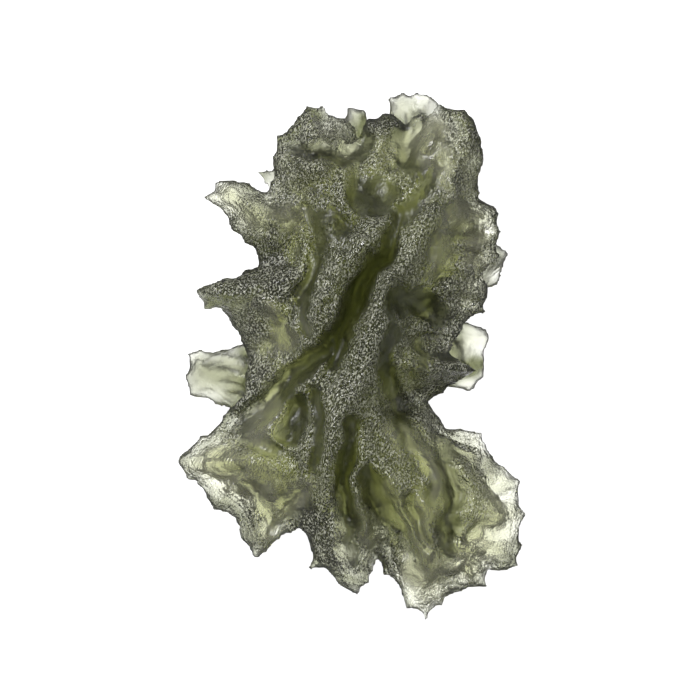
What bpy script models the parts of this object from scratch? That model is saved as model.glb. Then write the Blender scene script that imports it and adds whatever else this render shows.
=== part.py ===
"""Moldavite of the hedgehog kind: one piece of green natural glass, etched by the ground into leaves,
spines and flutes. Two ragged leaves, a broad front one and a thinner back one, lie one over the other
and are one body in the middle.

The stone lies on its back: X across, Y along its length, Z up out of the front face.
Shape values are millimetres; the mesh is made in metres.
"""

import bpy
import numpy as np

MM = 0.001

# ---- driving dimensions, millimetres ----
FRONT_HEIGHT = 5.8  # middle plane of the front leaf above the ground
BACK_HEIGHT = 3.1  # middle plane of the back leaf above the ground
FRONT_LIFT = 1.3  # how far its lobes curl up and down
BACK_LIFT = 0.9
LEAF_GAP = 1.3  # least height between the two middle planes
FRONT_SWELL = 1.0  # half thickness of the front leaf 1 mm in from its rim
BACK_SWELL = 0.72
LEAST_LEFT = 0.38  # share of a leaf's thickness that no groove cuts into
SWELL_POWER = 0.68  # how fast both leaves thicken further in
RIM_BLUNT = 0.06  # rounding of the knife edge
RIM_GROWN = 0.12  # how far the leaves reach past the rim lines below
BACK_TURN = 0.88  # the underside has the front's ribs and grooves, half a turn round and this size
CORE = (-0.2, -0.5, 5.2, 11.0, 1.3)  # thickest place: x, y, half width, half length, extra height
BLEND = 0.5  # fillet where the leaves run into each other
AXIS = ((3.0, 8.5), (-1.2, -8.5))  # line that the flutes fan out from
FLUTE_SPACING = (1.0, 1.3)
FLUTE_LENGTH = 2.6
FLUTE_DEPTH = 0.5
SCOOP_SPACING = (1.3, 1.7, 1.3)  # etched hollows all over the skin, longer along the stone
SCOOP_DEPTH = 0.16
BITE_SPACING = (1.0, 1.0, 1.0)  # small bites along the rims
BITE_DEPTH = 0.28
GRID_STEP = 0.24
HALF_ROOM = (11.8, 17.8, 6.4)  # half the box that the stone is made in
FLAT_WITHIN = 0.08  # points this near the ground lie on it
TRIANGLES = 8800

# Rims, clockwise seen from the front: (x, y, hollow), where hollow is how deep the edge is eaten in
# between this corner and the next. A minus sign is an edge that bulges out.
FRONT_RIM = [
    # top
    (-2.9, 16.3, 0.0), (-1.1, 15.6, 0.0), (-0.4, 15.7, 0.0), (0.6, 14.5, 0.0), (1.2, 15.5, 0.1),
    (2.1, 15.9, 0.1), (3.2, 15.7, 0.0), (3.6, 15.4, -0.1), (4.8, 16.0, 0.0), (5.9, 16.3, 0.1),
    # right side
    (7.5, 16.1, 0.0), (8.4, 14.3, 0.1), (8.9, 12.9, 0.3), (8.5, 10.3, -0.1), (9.7, 9.2, 0.0),
    (9.7, 6.4, 0.3), (9.1, 3.9, 0.1), (8.8, 2.7, 0.0), (7.7, 2.2, 0.0), (6.5, 0.1, 0.0),
    (8.4, -1.2, 0.0), (6.5, -2.3, -0.1), (5.0, -3.2, 0.1), (6.3, -4.9, 0.1), (8.6, -5.3, 0.0),
    # lower right fan
    (9.3, -6.7, 0.0), (11.1, -8.5, 0.2), (11.4, -10.6, 0.3), (11.3, -12.7, 0.1), (11.0, -14.1, 0.0),
    (9.1, -14.4, 0.1), (8.9, -15.5, 0.1), (6.5, -15.9, 0.1), (6.0, -16.5, 0.1), (5.4, -16.7, 0.1),
    (4.9, -17.5, 0.1), (4.4, -17.0, 0.0), (3.6, -16.9, 0.1), (3.0, -15.3, 0.1), (2.1, -14.6, 0.0),
    # bottom tongue
    (1.7, -13.5, 0.0), (1.2, -14.9, -0.1), (0.4, -15.7, -0.1), (-0.7, -15.1, -0.1),
    (-1.6, -14.0, 0.1), (-2.8, -14.1, 0.1), (-2.7, -12.7, 0.1), (-3.4, -11.6, 0.0),
    # lower left lobe
    (-4.4, -12.0, 0.0), (-5.4, -12.9, 0.1), (-6.2, -13.7, 0.0), (-6.8, -13.1, 0.0),
    (-7.4, -11.6, 0.1), (-7.7, -11.4, 0.0), (-7.7, -10.8, 0.1), (-9.1, -10.4, 0.1), (-9.7, -9.0, 0.1),
    (-10.7, -8.3, 0.0), (-11.5, -7.2, 0.0), (-11.0, -6.5, 0.0), (-10.1, -5.6, 0.1), (-8.8, -4.7, 0.1),
    # left side, with its spike and the lobe above
    (-8.2, -3.7, 0.0), (-7.2, -2.6, 0.0), (-6.8, -1.0, 0.0), (-7.2, 0.4, 0.0), (-7.6, 1.5, 0.1),
    (-8.6, 2.8, 0.1), (-9.7, 3.0, 0.1), (-10.1, 4.1, 0.1), (-8.9, 4.7, 0.1), (-6.6, 5.5, 0.1),
    (-6.2, 6.1, 0.0), (-6.6, 7.0, -0.1), (-7.3, 7.7, 0.0), (-7.9, 8.0, 0.1), (-8.3, 9.0, 0.1),
    (-9.7, 10.2, 0.0), (-9.0, 10.6, 0.0), (-8.9, 11.2, 0.0), (-7.7, 11.5, 0.1), (-6.6, 11.0, 0.0),
    # up to the top left tip
    (-5.5, 10.6, 0.1), (-5.2, 12.5, 0.0), (-5.2, 12.9, 0.0), (-4.9, 14.3, 0.1), (-4.0, 15.0, 0.0),
]
BACK_RIM = [
    # two clear blades at the top
    (-0.1, 16.5, 0.0), (0.8, 16.1, 0.1), (1.3, 14.9, 0.0), (2.6, 15.7, 0.0), (2.6, 16.9, 0.0),
    (3.4, 17.5, 0.1), (4.1, 17.2, 0.0), (5.2, 17.0, 0.0), (5.9, 16.1, 0.1),
    # right side, with the cusp and the blade below it
    (7.7, 14.3, 0.1), (8.6, 11.0, 0.1), (7.9, 9.9, 0.0), (9.0, 8.4, 0.0), (10.3, 6.6, 0.1),
    (9.9, 5.5, 0.1), (9.8, 4.6, 0.1), (8.3, 3.7, 0.1), (7.3, 2.2, 0.0), (8.8, 1.5, 0.0),
    (9.1, 1.0, 0.0), (8.7, 0.2, 0.1), (8.9, -1.7, 0.0), (7.8, -2.4, 0.0), (6.3, -2.4, 0.0),
    # behind the lower right fan and the bottom tongue
    (4.8, -2.8, 0.2), (5.8, -5.3, 0.1), (8.2, -6.4, 0.2), (8.7, -8.1, 0.2), (9.4, -9.6, 0.2),
    (9.0, -11.6, 0.2), (9.4, -13.3, 0.2), (7.5, -13.7, 0.1), (6.6, -15.3, 0.1), (4.9, -16.5, 0.2),
    (3.2, -14.2, 0.0), (1.7, -12.5, 0.1), (0.5, -14.5, 0.2), (-1.7, -13.0, 0.2), (-3.3, -10.8, 0.1),
    # behind the lower left lobe
    (-6.0, -12.2, 0.2), (-6.9, -10.1, 0.2), (-8.6, -9.2, 0.2), (-9.5, -7.2, 0.2), (-7.7, -4.3, 0.0),
    # clear blade on the left
    (-8.2, -3.7, 0.0), (-9.4, -3.2, 0.0), (-10.7, -2.7, 0.1), (-11.0, -1.6, 0.1), (-10.9, 0.0, 0.0),
    (-8.7, 0.2, 0.0),
    # behind the upper left, with one small spike out
    (-7.2, 0.7, 0.1), (-7.9, 3.4, 0.2), (-5.7, 5.8, 0.1), (-7.5, 8.6, 0.2), (-5.4, 10.4, 0.1),
    (-6.2, 12.0, 0.0), (-5.4, 12.1, 0.2), (-4.2, 13.9, 0.2), (-1.9, 14.8, 0.1), (-0.5, 15.6, 0.0),
    (-0.4, 16.3, 0.0),
]

# Raised ribs of the front: (half width, [(x, y, height), ...]), rounded across.
FRONT_RIBS = [
    (1.5, [(5.8, 10.0, 0.3), (3.5, 7.0, 1.0), (2.2, 4.7, 1.3), (1.7, 1.7, 1.4), (0.9, -0.6, 1.3),
           (0.3, -2.6, 1.1), (-0.8, -4.3, 1.0), (-1.1, -6.3, 0.9), (-1.8, -11.6, 0.3)]),
    (1.2, [(1.7, 8.3, 0.6), (-0.1, 6.2, 1.0), (-1.8, 4.7, 1.2), (-2.3, 3.0, 1.1), (-2.6, 1.0, 0.5)]),
    (0.5, [(-0.3, 12.6, 0.5), (-0.3, 10.0, 0.8), (0.0, 8.6, 0.3)]),
    (0.5, [(2.8, 1.4, 0.6), (3.0, -1.8, 0.6)]),
    # top lobes
    (0.6, [(0.9, 11.3, 0.4), (1.7, 13.6, 0.6), (2.1, 15.6, 0.3)]),
    (0.6, [(-1.5, 11.8, 0.4), (-2.6, 13.9, 0.6), (-2.9, 16.0, 0.3)]),
    (0.6, [(3.2, 11.0, 0.5), (4.8, 13.6, 0.6), (5.9, 16.0, 0.3)]),
    (0.5, [(6.8, 11.6, 0.4), (7.8, 13.9, 0.5), (7.5, 15.9, 0.3)]),
    # right side
    (0.6, [(6.6, 11.0, 0.6), (7.0, 9.3, 0.6), (6.2, 7.6, 0.6), (5.3, 6.0, 0.3)]),
    (0.8, [(3.2, -1.1, 0.4), (5.2, -1.1, 0.8), (6.8, -0.8, 0.8), (8.1, -1.1, 0.3)]),
    # lower right fan
    (0.7, [(3.3, -4.8, 0.4), (5.3, -7.1, 0.9), (5.9, -8.4, 1.0), (5.8, -9.9, 0.8), (4.8, -11.9, 0.3)]),
    (0.5, [(1.7, -7.4, 0.5), (3.0, -9.4, 0.8), (4.1, -11.6, 0.8), (5.2, -14.1, 0.3)]),
    (0.5, [(0.0, -8.2, 0.5), (0.7, -10.6, 0.6), (1.7, -13.3, 0.3)]),
    (0.6, [(6.8, -7.6, 0.4), (8.8, -8.2, 0.5), (10.9, -8.6, 0.2)]),
    (0.6, [(6.5, -10.4, 0.4), (9.1, -10.6, 0.5), (11.1, -10.6, 0.2)]),
    (0.6, [(6.2, -12.2, 0.4), (8.8, -12.9, 0.5), (10.9, -13.7, 0.2)]),
    (0.6, [(5.8, -13.9, 0.4), (7.8, -14.5, 0.5), (8.8, -15.3, 0.2)]),
    # left side
    (0.8, [(-2.0, -1.1, 0.9), (-3.4, -2.1, 0.8), (-5.1, -3.3, 0.5)]),
    (0.8, [(-4.4, 4.5, 0.6), (-6.8, 4.3, 0.7), (-9.7, 3.5, 0.3)]),
    (0.8, [(-4.4, 8.6, 0.6), (-6.8, 10.0, 0.6), (-9.3, 10.3, 0.3)]),
    (0.7, [(-6.0, -6.6, 0.5), (-8.4, -6.9, 0.6), (-11.1, -7.2, 0.3)]),
    (0.7, [(-4.4, -7.6, 0.4), (-5.8, -10.2, 0.6), (-6.3, -13.3, 0.3)]),
]

# Grooves and hollows of the front: (half width, [(x, y, depth), ...]).
FRONT_GROOVES = [
    # the deep cleft down the middle, and the long flute that runs into it from the upper right
    (0.75, [(3.2, 8.8, 1.2), (2.2, 6.2, 2.6), (1.3, 5.0, 3.0), (0.4, 3.7, 3.0), (0.0, 2.2, 2.8),
           (-0.7, 0.5, 2.2), (-1.7, -1.2, 1.2)]),
    (0.8, [(6.8, 12.6, 0.5), (4.8, 10.3, 1.0), (3.5, 8.0, 1.4), (2.5, 6.2, 1.6)]),
    (1.3, [(0.9, 11.0, 0.9), (1.9, 9.5, 0.9)]),
    # top: a gully below the tip, three short flutes up to its edge, hollows of the right lobe
    (0.65, [(-4.2, 13.8, 0.6), (-2.8, 13.2, 1.3), (-0.5, 13.1, 1.3), (0.9, 14.4, 0.8)]),
    (0.45, [(-2.7, 15.5, 0.3), (-2.7, 13.6, 0.7)]),
    (0.45, [(-1.6, 15.2, 0.3), (-1.6, 13.6, 0.7)]),
    (0.45, [(-0.6, 15.2, 0.3), (-0.6, 13.6, 0.7)]),
    (0.8, [(5.8, 12.4, 0.9), (6.5, 14.9, 0.5)]),
    (0.7, [(3.5, 12.6, 0.8), (4.0, 14.9, 0.5)]),
    (0.6, [(7.7, 12.4, 0.8), (8.5, 11.3, 0.4)]),
    # left side from the top down
    (0.9, [(-5.4, 10.3, 0.6), (-3.4, 10.6, 0.9), (-1.5, 11.0, 0.9)]),
    (0.6, [(-3.2, 9.3, 1.0), (-2.1, 7.1, 1.2)]),
    (1.0, [(-7.5, 6.3, 0.4), (-4.4, 6.2, 1.0), (-3.4, 7.6, 0.9)]),
    (0.7, [(-2.3, 6.7, 0.8), (-3.2, 3.7, 1.2), (-3.0, 1.0, 0.8)]),
    (0.8, [(-4.0, 3.1, 1.0), (-5.4, 0.2, 0.8)]),
    (0.9, [(-7.1, 2.4, 0.5), (-5.1, 1.7, 0.9), (-4.1, -0.3, 0.8)]),
    (0.8, [(-0.9, 0.7, 1.6), (-3.4, -1.3, 2.0), (-6.0, -3.5, 1.8), (-7.7, -4.8, 0.8)]),
    # lower left lobe
    (0.9, [(-3.6, -3.7, 1.6), (-4.1, -5.6, 1.4)]),
    (0.8, [(-7.7, -5.6, 0.6), (-6.0, -6.4, 1.0), (-4.1, -6.6, 1.0)]),
    (0.6, [(-9.1, -8.2, 0.4), (-7.4, -8.1, 0.8)]),
    (0.7, [(-7.1, -8.9, 0.7), (-6.0, -9.6, 0.9), (-5.4, -11.6, 0.5)]),
    (0.8, [(-3.4, -9.2, 1.0), (-3.4, -11.4, 0.5)]),
    (0.6, [(-2.3, -2.6, 0.8), (-2.3, -7.1, 0.9), (-2.6, -9.6, 0.4)]),
    # bottom: the second long cleft and the bowl beside it
    (0.7, [(0.1, -4.6, 1.2), (-0.3, -7.2, 2.0), (-0.5, -9.9, 2.0), (-0.1, -11.9, 1.7), (0.5, -15.5, 0.6)]),
    (0.9, [(1.1, -8.2, 1.5), (2.2, -10.6, 1.8), (3.2, -12.9, 1.2)]),
    (0.5, [(3.7, -9.6, 0.9), (4.8, -12.5, 0.9)]),
    # lower right fan
    (1.0, [(6.2, -6.3, 0.6), (6.6, -8.9, 1.3), (6.5, -11.6, 1.3), (6.2, -13.5, 0.8)]),
    (0.7, [(9.8, -7.4, 0.4), (7.8, -6.6, 0.7), (5.8, -5.7, 0.6)]),
    (0.8, [(8.5, -7.6, 0.7), (9.8, -9.6, 0.8)]),
    (0.8, [(8.1, -11.9, 0.9), (9.1, -12.5, 0.6)]),
    (0.6, [(7.3, -14.5, 0.6), (5.8, -15.5, 0.3)]),
    # right side
    (0.8, [(2.4, -1.9, 1.6), (3.0, -3.5, 1.8), (4.2, -3.3, 0.9)]),
    (0.6, [(3.8, -2.7, 0.8), (6.2, -2.0, 0.5)]),
    (0.8, [(4.4, 0.7, 1.0), (6.5, 1.0, 0.8), (7.7, 1.7, 0.5)]),
    (1.1, [(3.3, 3.7, 1.2), (4.8, 2.7, 1.5), (6.2, 2.0, 0.8)]),
    (0.5, [(8.5, 3.3, 0.6), (6.5, 3.7, 0.7)]),
    (0.6, [(8.6, 5.0, 0.7), (5.8, 4.7, 0.8)]),
    (0.5, [(8.6, 6.5, 0.7), (6.8, 6.2, 0.5)]),
    (0.6, [(8.5, 8.0, 0.8), (6.6, 7.8, 0.6)]),
]

# Pale places, where the stone is thin and calm: (half width, [(x, y, strength), ...]).
PALE = [
    (0.9, [(3.3, -4.9, 1.0), (5.6, -8.1, 1.2), (4.6, -11.6, 1.0)]),
    (1.3, [(-5.8, -8.9, 1.1), (-3.6, -9.6, 1.2)]),
    (1.0, [(-4.8, -11.0, 1.0), (-5.8, -12.4, 0.6)]),
    (1.0, [(-5.7, -3.6, 0.8), (-5.7, -5.6, 0.9)]),
    (0.4, [(0.0, -9.6, 0.9), (1.5, -13.4, 1.0)]),
    (0.5, [(2.1, -8.1, 1.0), (3.4, -10.4, 1.1), (5.0, -13.9, 1.1)]),
    (1.3, [(4.2, -13.6, 1.0), (5.2, -16.0, 1.2)]),
    (1.0, [(10.4, -9.0, 1.2), (10.2, -10.6, 1.1), (9.1, -12.4, 1.2), (7.4, -14.4, 1.2)]),
    (1.5, [(-9.8, -6.6, 0.9), (-7.6, -8.4, 0.9)]),
    (0.9, [(6.4, -4.9, 0.8), (8.4, -5.8, 0.9)]),
    (1.0, [(5.2, 15.6, 1.0), (5.0, 13.6, 0.8), (5.9, 12.2, 0.9)]),
    (0.9, [(6.8, 9.2, 0.9), (6.2, 7.6, 0.8), (5.4, 5.4, 0.8)]),
    (1.0, [(8.4, 8.6, 0.8), (8.6, 5.9, 0.9)]),
    (1.3, [(-8.6, 10.3, 1.1), (-6.8, 9.0, 0.9)]),
    (0.9, [(-4.6, 9.2, 0.6), (-3.6, 8.4, 0.6)]),
    (0.8, [(-5.4, 12.8, 0.9), (-5.2, 10.0, 0.8)]),
    (0.8, [(-2.6, 15.0, 0.5), (-1.0, 14.8, 0.5)]),
    (0.7, [(-5.0, 2.6, 1.0), (-4.6, 0.9, 1.0)]),
    (0.5, [(-3.1, 3.9, 0.6), (-2.9, 1.6, 0.6)]),
]

# Spines that stand out between the leaves: root, tip, root radius.
SPINES = [
    ((2.0, 9.0, 4.0), (7.2, 13.6, 3.6), 1.6),
    ((3.0, 5.0, 4.0), (8.9, 7.4, 4.4), 1.7),
    ((3.0, 3.0, 4.2), (8.2, 3.6, 3.4), 1.5),
    ((2.0, -1.0, 4.2), (7.6, -1.0, 3.9), 1.5),
    ((3.0, -6.0, 4.0), (8.6, -7.2, 4.3), 1.6),
    ((3.0, -8.0, 3.8), (10.2, -10.9, 3.5), 1.1),
    ((2.5, -10.0, 4.0), (8.4, -14.4, 4.4), 1.0),
    ((1.5, -10.0, 3.8), (4.6, -16.2, 3.4), 0.9),
    ((-1.0, -9.0, 3.9), (0.2, -14.9, 4.2), 1.4),
    ((-2.0, -7.0, 4.0), (-6.0, -12.6, 3.6), 0.9),
    ((-3.0, -5.0, 3.9), (-10.0, -7.4, 4.4), 1.6),
    ((-2.0, -2.0, 4.1), (-7.2, -3.2, 3.6), 1.5),
    ((-2.0, 2.0, 4.0), (-9.0, 3.4, 3.9), 1.6),
    ((-2.0, 6.0, 4.0), (-7.8, 9.6, 3.5), 1.6),
    ((-1.0, 9.0, 3.9), (-4.4, 13.9, 4.3), 1.5),
    ((0.5, 9.0, 3.8), (0.9, 15.0, 3.7), 1.4),
]


def rim_line(rim):
    """Corner points of a rim with its hollow edges filled in: each edge is a shallow parabola."""
    points = []
    for (ax, ay, hollow), (bx, by, _) in zip(rim, rim[1:] + rim[:1]):
        length = np.hypot(bx - ax, by - ay)
        into = ((by - ay) / length, -(bx - ax) / length)
        for t in (0.0, 0.25, 0.5, 0.75) if hollow else (0.0,):
            dip = 4 * hollow * t * (1 - t)
            points.append((ax + t * (bx - ax) + into[0] * dip, ay + t * (by - ay) + into[1] * dip))
    return points


def along(x, y, ax, ay, bx, by):
    """Distance from the line a-b, and how far along it the nearest place is, from 0 to 1."""
    ex, ey = bx - ax, by - ay
    t = np.clip(((x - ax) * ex + (y - ay) * ey) / (ex * ex + ey * ey), 0, 1)
    return np.hypot(x - ax - t * ex, y - ay - t * ey), t


def inside(x, y, rim):
    """Distance in from the rim, negative outside it."""
    line = rim_line(rim)
    nearest = np.full(x.shape, 99.0)
    within = np.zeros(x.shape, bool)
    for (ax, ay), (bx, by) in zip(line, line[1:] + line[:1]):
        nearest = np.minimum(nearest, along(x, y, ax, ay, bx, by)[0])
        if ay != by:
            within ^= ((ay > y) != (by > y)) & (x < ax + (y - ay) * (bx - ax) / (by - ay))
    return np.where(within, nearest, -nearest) + RIM_GROWN


def wander(x, y, reach):
    """The same places pushed about a little, so that nothing cut along a line stays straight."""
    u = x + reach * (np.sin(1.3 * y + 0.7 * x) + 0.5 * np.sin(3.1 * y - 1.7 * x + 2.0))
    v = y + reach * (np.sin(1.1 * x - 0.6 * y + 1.0) + 0.5 * np.sin(2.9 * x + 2.2 * y))
    return u, v


def relief(x, y, strokes):
    """Highest of the strokes at each place. Across a stroke the height falls off as a bell."""
    height = np.zeros(x.shape)
    for half_width, path in strokes:
        for (ax, ay, ah), (bx, by, bh) in zip(path, path[1:]):
            away, t = along(x, y, ax, ay, bx, by)
            height = np.maximum(height, (ah + t * (bh - ah)) * np.exp(-((away / half_width) ** 2)))
    return height


def flutes(seed):
    """Short grooves all over a face. They run along the stone near its axis and fan outward away
    from it, each in its own place of a jittered grid."""
    chance = np.random.default_rng(seed)
    (ax, ay), (bx, by) = AXIS
    strokes = []
    for x in np.arange(-12, 12, FLUTE_SPACING[0]):
        for y in np.arange(-18, 18, FLUTE_SPACING[1]):
            px, py = x + chance.uniform(0, FLUTE_SPACING[0]), y + chance.uniform(0, FLUTE_SPACING[1])
            away, t = along(px, py, ax, ay, bx, by)
            out = np.array([px - ax - t * (bx - ax), py - ay - t * (by - ay)]) / (away + 1e-6)
            line = np.array([ax - bx, ay - by]) / np.hypot(ax - bx, ay - by)
            line *= 1 if out @ line >= 0 else -1
            turn = min(away / 5.0, 1.0)
            run = line * (1 - turn) + out * turn + chance.normal(0, 0.16, 2)
            run *= FLUTE_LENGTH * chance.uniform(0.3, 0.7) / np.hypot(*run)
            deep = FLUTE_DEPTH * chance.uniform(0.3, 1.0)
            first, last = (px - run[0], py - run[1], 0.5 * deep), (px + run[0], py + run[1], 0.5 * deep)
            strokes.append((chance.uniform(0.3, 0.6), [first, (px, py, deep), last]))
    return strokes


def swell(depth, amount):
    """Half thickness of a leaf at this distance in from its rim: quick at first, then slower."""
    start = RIM_BLUNT**SWELL_POWER
    inner = (np.maximum(depth, 0) + RIM_BLUNT) ** SWELL_POWER - start
    outer = SWELL_POWER * RIM_BLUNT ** (SWELL_POWER - 1) * np.minimum(depth, 0)
    return amount * (inner + outer)


def curl(x, y, turn):
    """Waves round the rim, from 0 in the middle of the stone to about 1 at its edge."""
    angle = np.arctan2(y / 1.55, x)
    outward = np.clip((x / 9.0) ** 2 + (y / 14.5) ** 2, 0, 1.2)
    wave = 0.8 * np.sin(3 * angle + turn) + 0.6 * np.sin(7 * angle + 2.3 * turn)
    return outward * (wave + 0.35 * np.sin(13 * angle + 4.1 * turn))


def cut(face, strokes_up, strokes_down, away, share):
    """A face with its ribs and grooves, at least a share of the way in from the leaf's other face."""
    return np.maximum(face + strokes_up - strokes_down, face - (1 - share) * away)


def sheets(x, y):
    """Heights of the four faces: front leaf top and bottom, back leaf top and bottom."""
    bites = BITE_DEPTH * (scoops(x, y, 0 * x, BITE_SPACING, 5.0) - 0.4)
    front_in = inside(x, y, FRONT_RIM) - bites
    back_in = inside(x, y, BACK_RIM) - bites
    front = FRONT_HEIGHT + FRONT_LIFT * curl(x, y, 0.6)
    back = np.minimum(BACK_HEIGHT + BACK_LIFT * curl(x, y, 2.9), front - LEAF_GAP)
    cx, cy, half_width, half_length, extra = CORE
    core = extra * np.exp(-(((x - cx) / half_width) ** 2) - ((y - cy) / half_length) ** 2)
    front_deep = np.clip(front_in / 1.2, 0, 1)
    back_deep = np.clip(back_in / 1.2, 0, 1)
    front_half = swell(front_in, FRONT_SWELL)
    back_half = swell(back_in, BACK_SWELL)
    u, v = wander(x, y, 0.14)
    near_rim = 0.25 + 0.75 * front_deep
    pale = np.clip(relief(u, v, PALE), 0, 1)
    calm = 1 - 0.8 * pale
    grooves = np.maximum(relief(u, v, FRONT_GROOVES), relief(u, v, flutes(1)) * calm)
    ribs = relief(u, v, FRONT_RIBS) * near_rim
    thick = np.maximum(1.8 * front_half, 0)
    front_top = cut(front + front_half + core * front_deep, ribs, grooves * near_rim, thick, LEAST_LEFT)
    grooves = 0.6 * relief(u, v, flutes(2)) * front_deep * calm
    front_bottom = front - (0.8 - 0.2 * pale) * front_half + grooves
    grooves = 0.4 * relief(u, v, flutes(3)) * back_deep * calm
    back_top = back + (1 - 0.2 * pale) * back_half - grooves
    p, q = -u / BACK_TURN, -v / BACK_TURN
    grooves = np.maximum(0.8 * relief(p, q, FRONT_GROOVES), relief(u, v, flutes(4))) * back_deep * calm
    ribs = 0.8 * relief(p, q, FRONT_RIBS) * back_deep * calm
    thick = np.maximum(2.2 * back_half, 0)
    back_bottom = -cut((1.2 - 0.3 * pale) * back_half - back, ribs, grooves, thick, LEAST_LEFT)
    return front_in, back_in, front_top, front_bottom, back_top, back_bottom


def spine_field(x, y, z):
    """Distance from the nearest spine. Each is a cone with a rounded tip."""
    field = np.full(x.shape, 9.0)
    for root, tip, radius in SPINES:
        run = np.subtract(tip, root)
        away = [x - root[0], y - root[1], z - root[2]]
        t = np.clip(sum(a * r for a, r in zip(away, run)) / (run @ run), 0, 1)
        off = np.sqrt(sum((a - t * r) ** 2 for a, r in zip(away, run)))
        field = np.minimum(field, off - radius * (1 - t) ** 0.8 - 0.12)
    return field


def scoops(x, y, z, spacing, seed):
    """Etched hollows: one centre at a random place in each box of a grid, 1 at a centre and falling
    as a parabola to 0 about a box away, so that neighbours meet in sharp crests."""
    place = [x / spacing[0], y / spacing[1], z / spacing[2]]
    box = [np.floor(p) for p in place]
    nearest = np.full(x.shape, 9.0)
    for step in np.ndindex(3, 3, 3):
        home = [b + s - 1 for b, s in zip(box, step)]
        away = 0
        for axis in range(3):
            mix = 127.1 * home[0] + 311.7 * home[1] + 74.7 * home[2] + 53.3 * axis + seed
            jitter = np.sin(mix) * 43758.5453 % 1
            away = away + (home[axis] + jitter - place[axis]) ** 2
        nearest = np.minimum(nearest, away)
    return np.maximum(1 - nearest / 0.64, 0)


def blend(a, b):
    """Two bodies joined with a small fillet."""
    near = np.clip(BLEND - abs(a - b), 0, None)
    return np.minimum(a, b) - near**2 / (4 * BLEND)


def stone_field(xs, ys, zs):
    """Rough distance from the stone's skin in millimetres, negative inside it."""
    x, y = np.meshgrid(xs, ys, indexing="ij")
    front_in, back_in, front_top, front_bottom, back_top, back_bottom = sheets(x, y)

    def side(height, sign):
        slope = np.hypot(*np.gradient(height, xs, ys))
        return sign * (zs - height[..., None]) / np.sqrt(1 + slope**2)[..., None]

    front = np.maximum(side(front_top, 1), side(front_bottom, -1))
    back = np.maximum(side(back_top, 1), side(back_bottom, -1))
    field = blend(front, back)
    grown = np.clip(np.maximum(front_in, back_in), 0.15, 1)[..., None]
    wide = [np.broadcast_to(a, field.shape) for a in (x[..., None], y[..., None], zs)]
    field = blend(field, spine_field(*wide))
    field = field + SCOOP_DEPTH * grown * scoops(*wide, SCOOP_SPACING, 0.0)
    return np.maximum(field, -zs)


def tidy_cells(field):
    """Fills the few grid cells in which the skin would touch itself, so that the mesh is one sheet."""
    corners = list(np.ndindex(2, 2, 2))

    def in_one_piece(group):
        reached = set(group[:1])
        for _ in range(8):
            reached |= {c for c in group for r in reached if sum(abs(a - b) for a, b in zip(c, r)) == 1}
        return len(reached) == len(group)

    def crossed(filled):
        for axis in range(3):
            for level in (0, 1):
                face = {c: c in filled for c in corners if c[axis] == level}
                low, high = face.keys() - filled, set(face) & filled
                if len(low) == 2 and len(high) == 2 and not in_one_piece(sorted(high)):
                    return True
        return False

    awkward = np.zeros(256, bool)
    for code in range(256):
        filled = {c for n, c in enumerate(corners) if code >> n & 1}
        empty = set(corners) - filled
        apart = not in_one_piece(sorted(filled)) or not in_one_piece(sorted(empty))
        awkward[code] = apart or crossed(filled)
    size = [n - 1 for n in field.shape]
    windows = [tuple(slice(o, o + n) for o, n in zip(c, size)) for c in corners]
    while True:
        code = sum((field[w] < 0).astype(int) << n for n, w in enumerate(windows))
        cells = np.argwhere(awkward[code])
        if not len(cells):
            return field
        places = cells[:, None] + np.array(corners)
        values = field[tuple(np.moveaxis(places, 2, 0))]
        least = np.where(values < 0, 9.0, values).argmin(axis=1)
        field[tuple(places[np.arange(len(cells)), least].T)] = -0.01


def skin(field, start, step):
    """Surface nets: a point in each grid cell that the skin crosses, at the mean of its crossings with
    the cell's edges, and a quad round each grid edge that the skin cuts."""
    size = tuple(n - 1 for n in field.shape)
    total = np.zeros(size + (3,))
    count = np.zeros(size)
    for axis in range(3):
        for side in np.ndindex(2, 2):
            corner = list(side)
            corner.insert(axis, 0)
            low = field[tuple(slice(c, c + n) for c, n in zip(corner, size))]
            corner[axis] = 1
            high = field[tuple(slice(c, c + n) for c, n in zip(corner, size))]
            cut = (low < 0) != (high < 0)
            corner[axis] = 0
            place = np.broadcast_to(np.array(corner, float), size + (3,)).copy()
            place[..., axis] += low / np.where(cut, low - high, 1)
            total += np.where(cut[..., None], place, 0)
            count += cut
    live = count > 0
    number = np.full(size, -1)
    number[live] = np.arange(live.sum())
    points = (np.argwhere(live) + total[live] / count[live][:, None]) * step + start
    quads = []
    for axis in range(3):
        low = np.moveaxis(field, axis, 0)[:-1] < 0
        high = np.moveaxis(field, axis, 0)[1:] < 0
        grid = np.moveaxis(number, axis, 0)
        a, b, c = np.nonzero((low != high)[:, 1:-1, 1:-1])
        ring = np.stack([grid[a, b, c], grid[a, b + 1, c], grid[a, b + 1, c + 1], grid[a, b, c + 1]], 1)
        outward = low[:, 1:-1, 1:-1][a, b, c]
        if axis == 1:
            outward = ~outward
        quads.append(np.where(outward[:, None], ring, ring[:, ::-1]))
    return points, np.concatenate(quads)


def largest_body(points, quads):
    """Drops loose crumbs and closed bubbles: keeps the connected skin that has the most points."""
    label = np.arange(len(points))
    while True:
        low = label[quads].min(axis=1)
        fresh = label.copy()
        for corner in range(4):
            np.minimum.at(fresh, quads[:, corner], low)
        fresh = fresh[fresh]
        if (fresh == label).all():
            break
        label = fresh
    keep = label == np.bincount(label).argmax()
    number = np.cumsum(keep) - 1
    return points[keep], number[quads[keep[quads[:, 0]]]]


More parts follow.
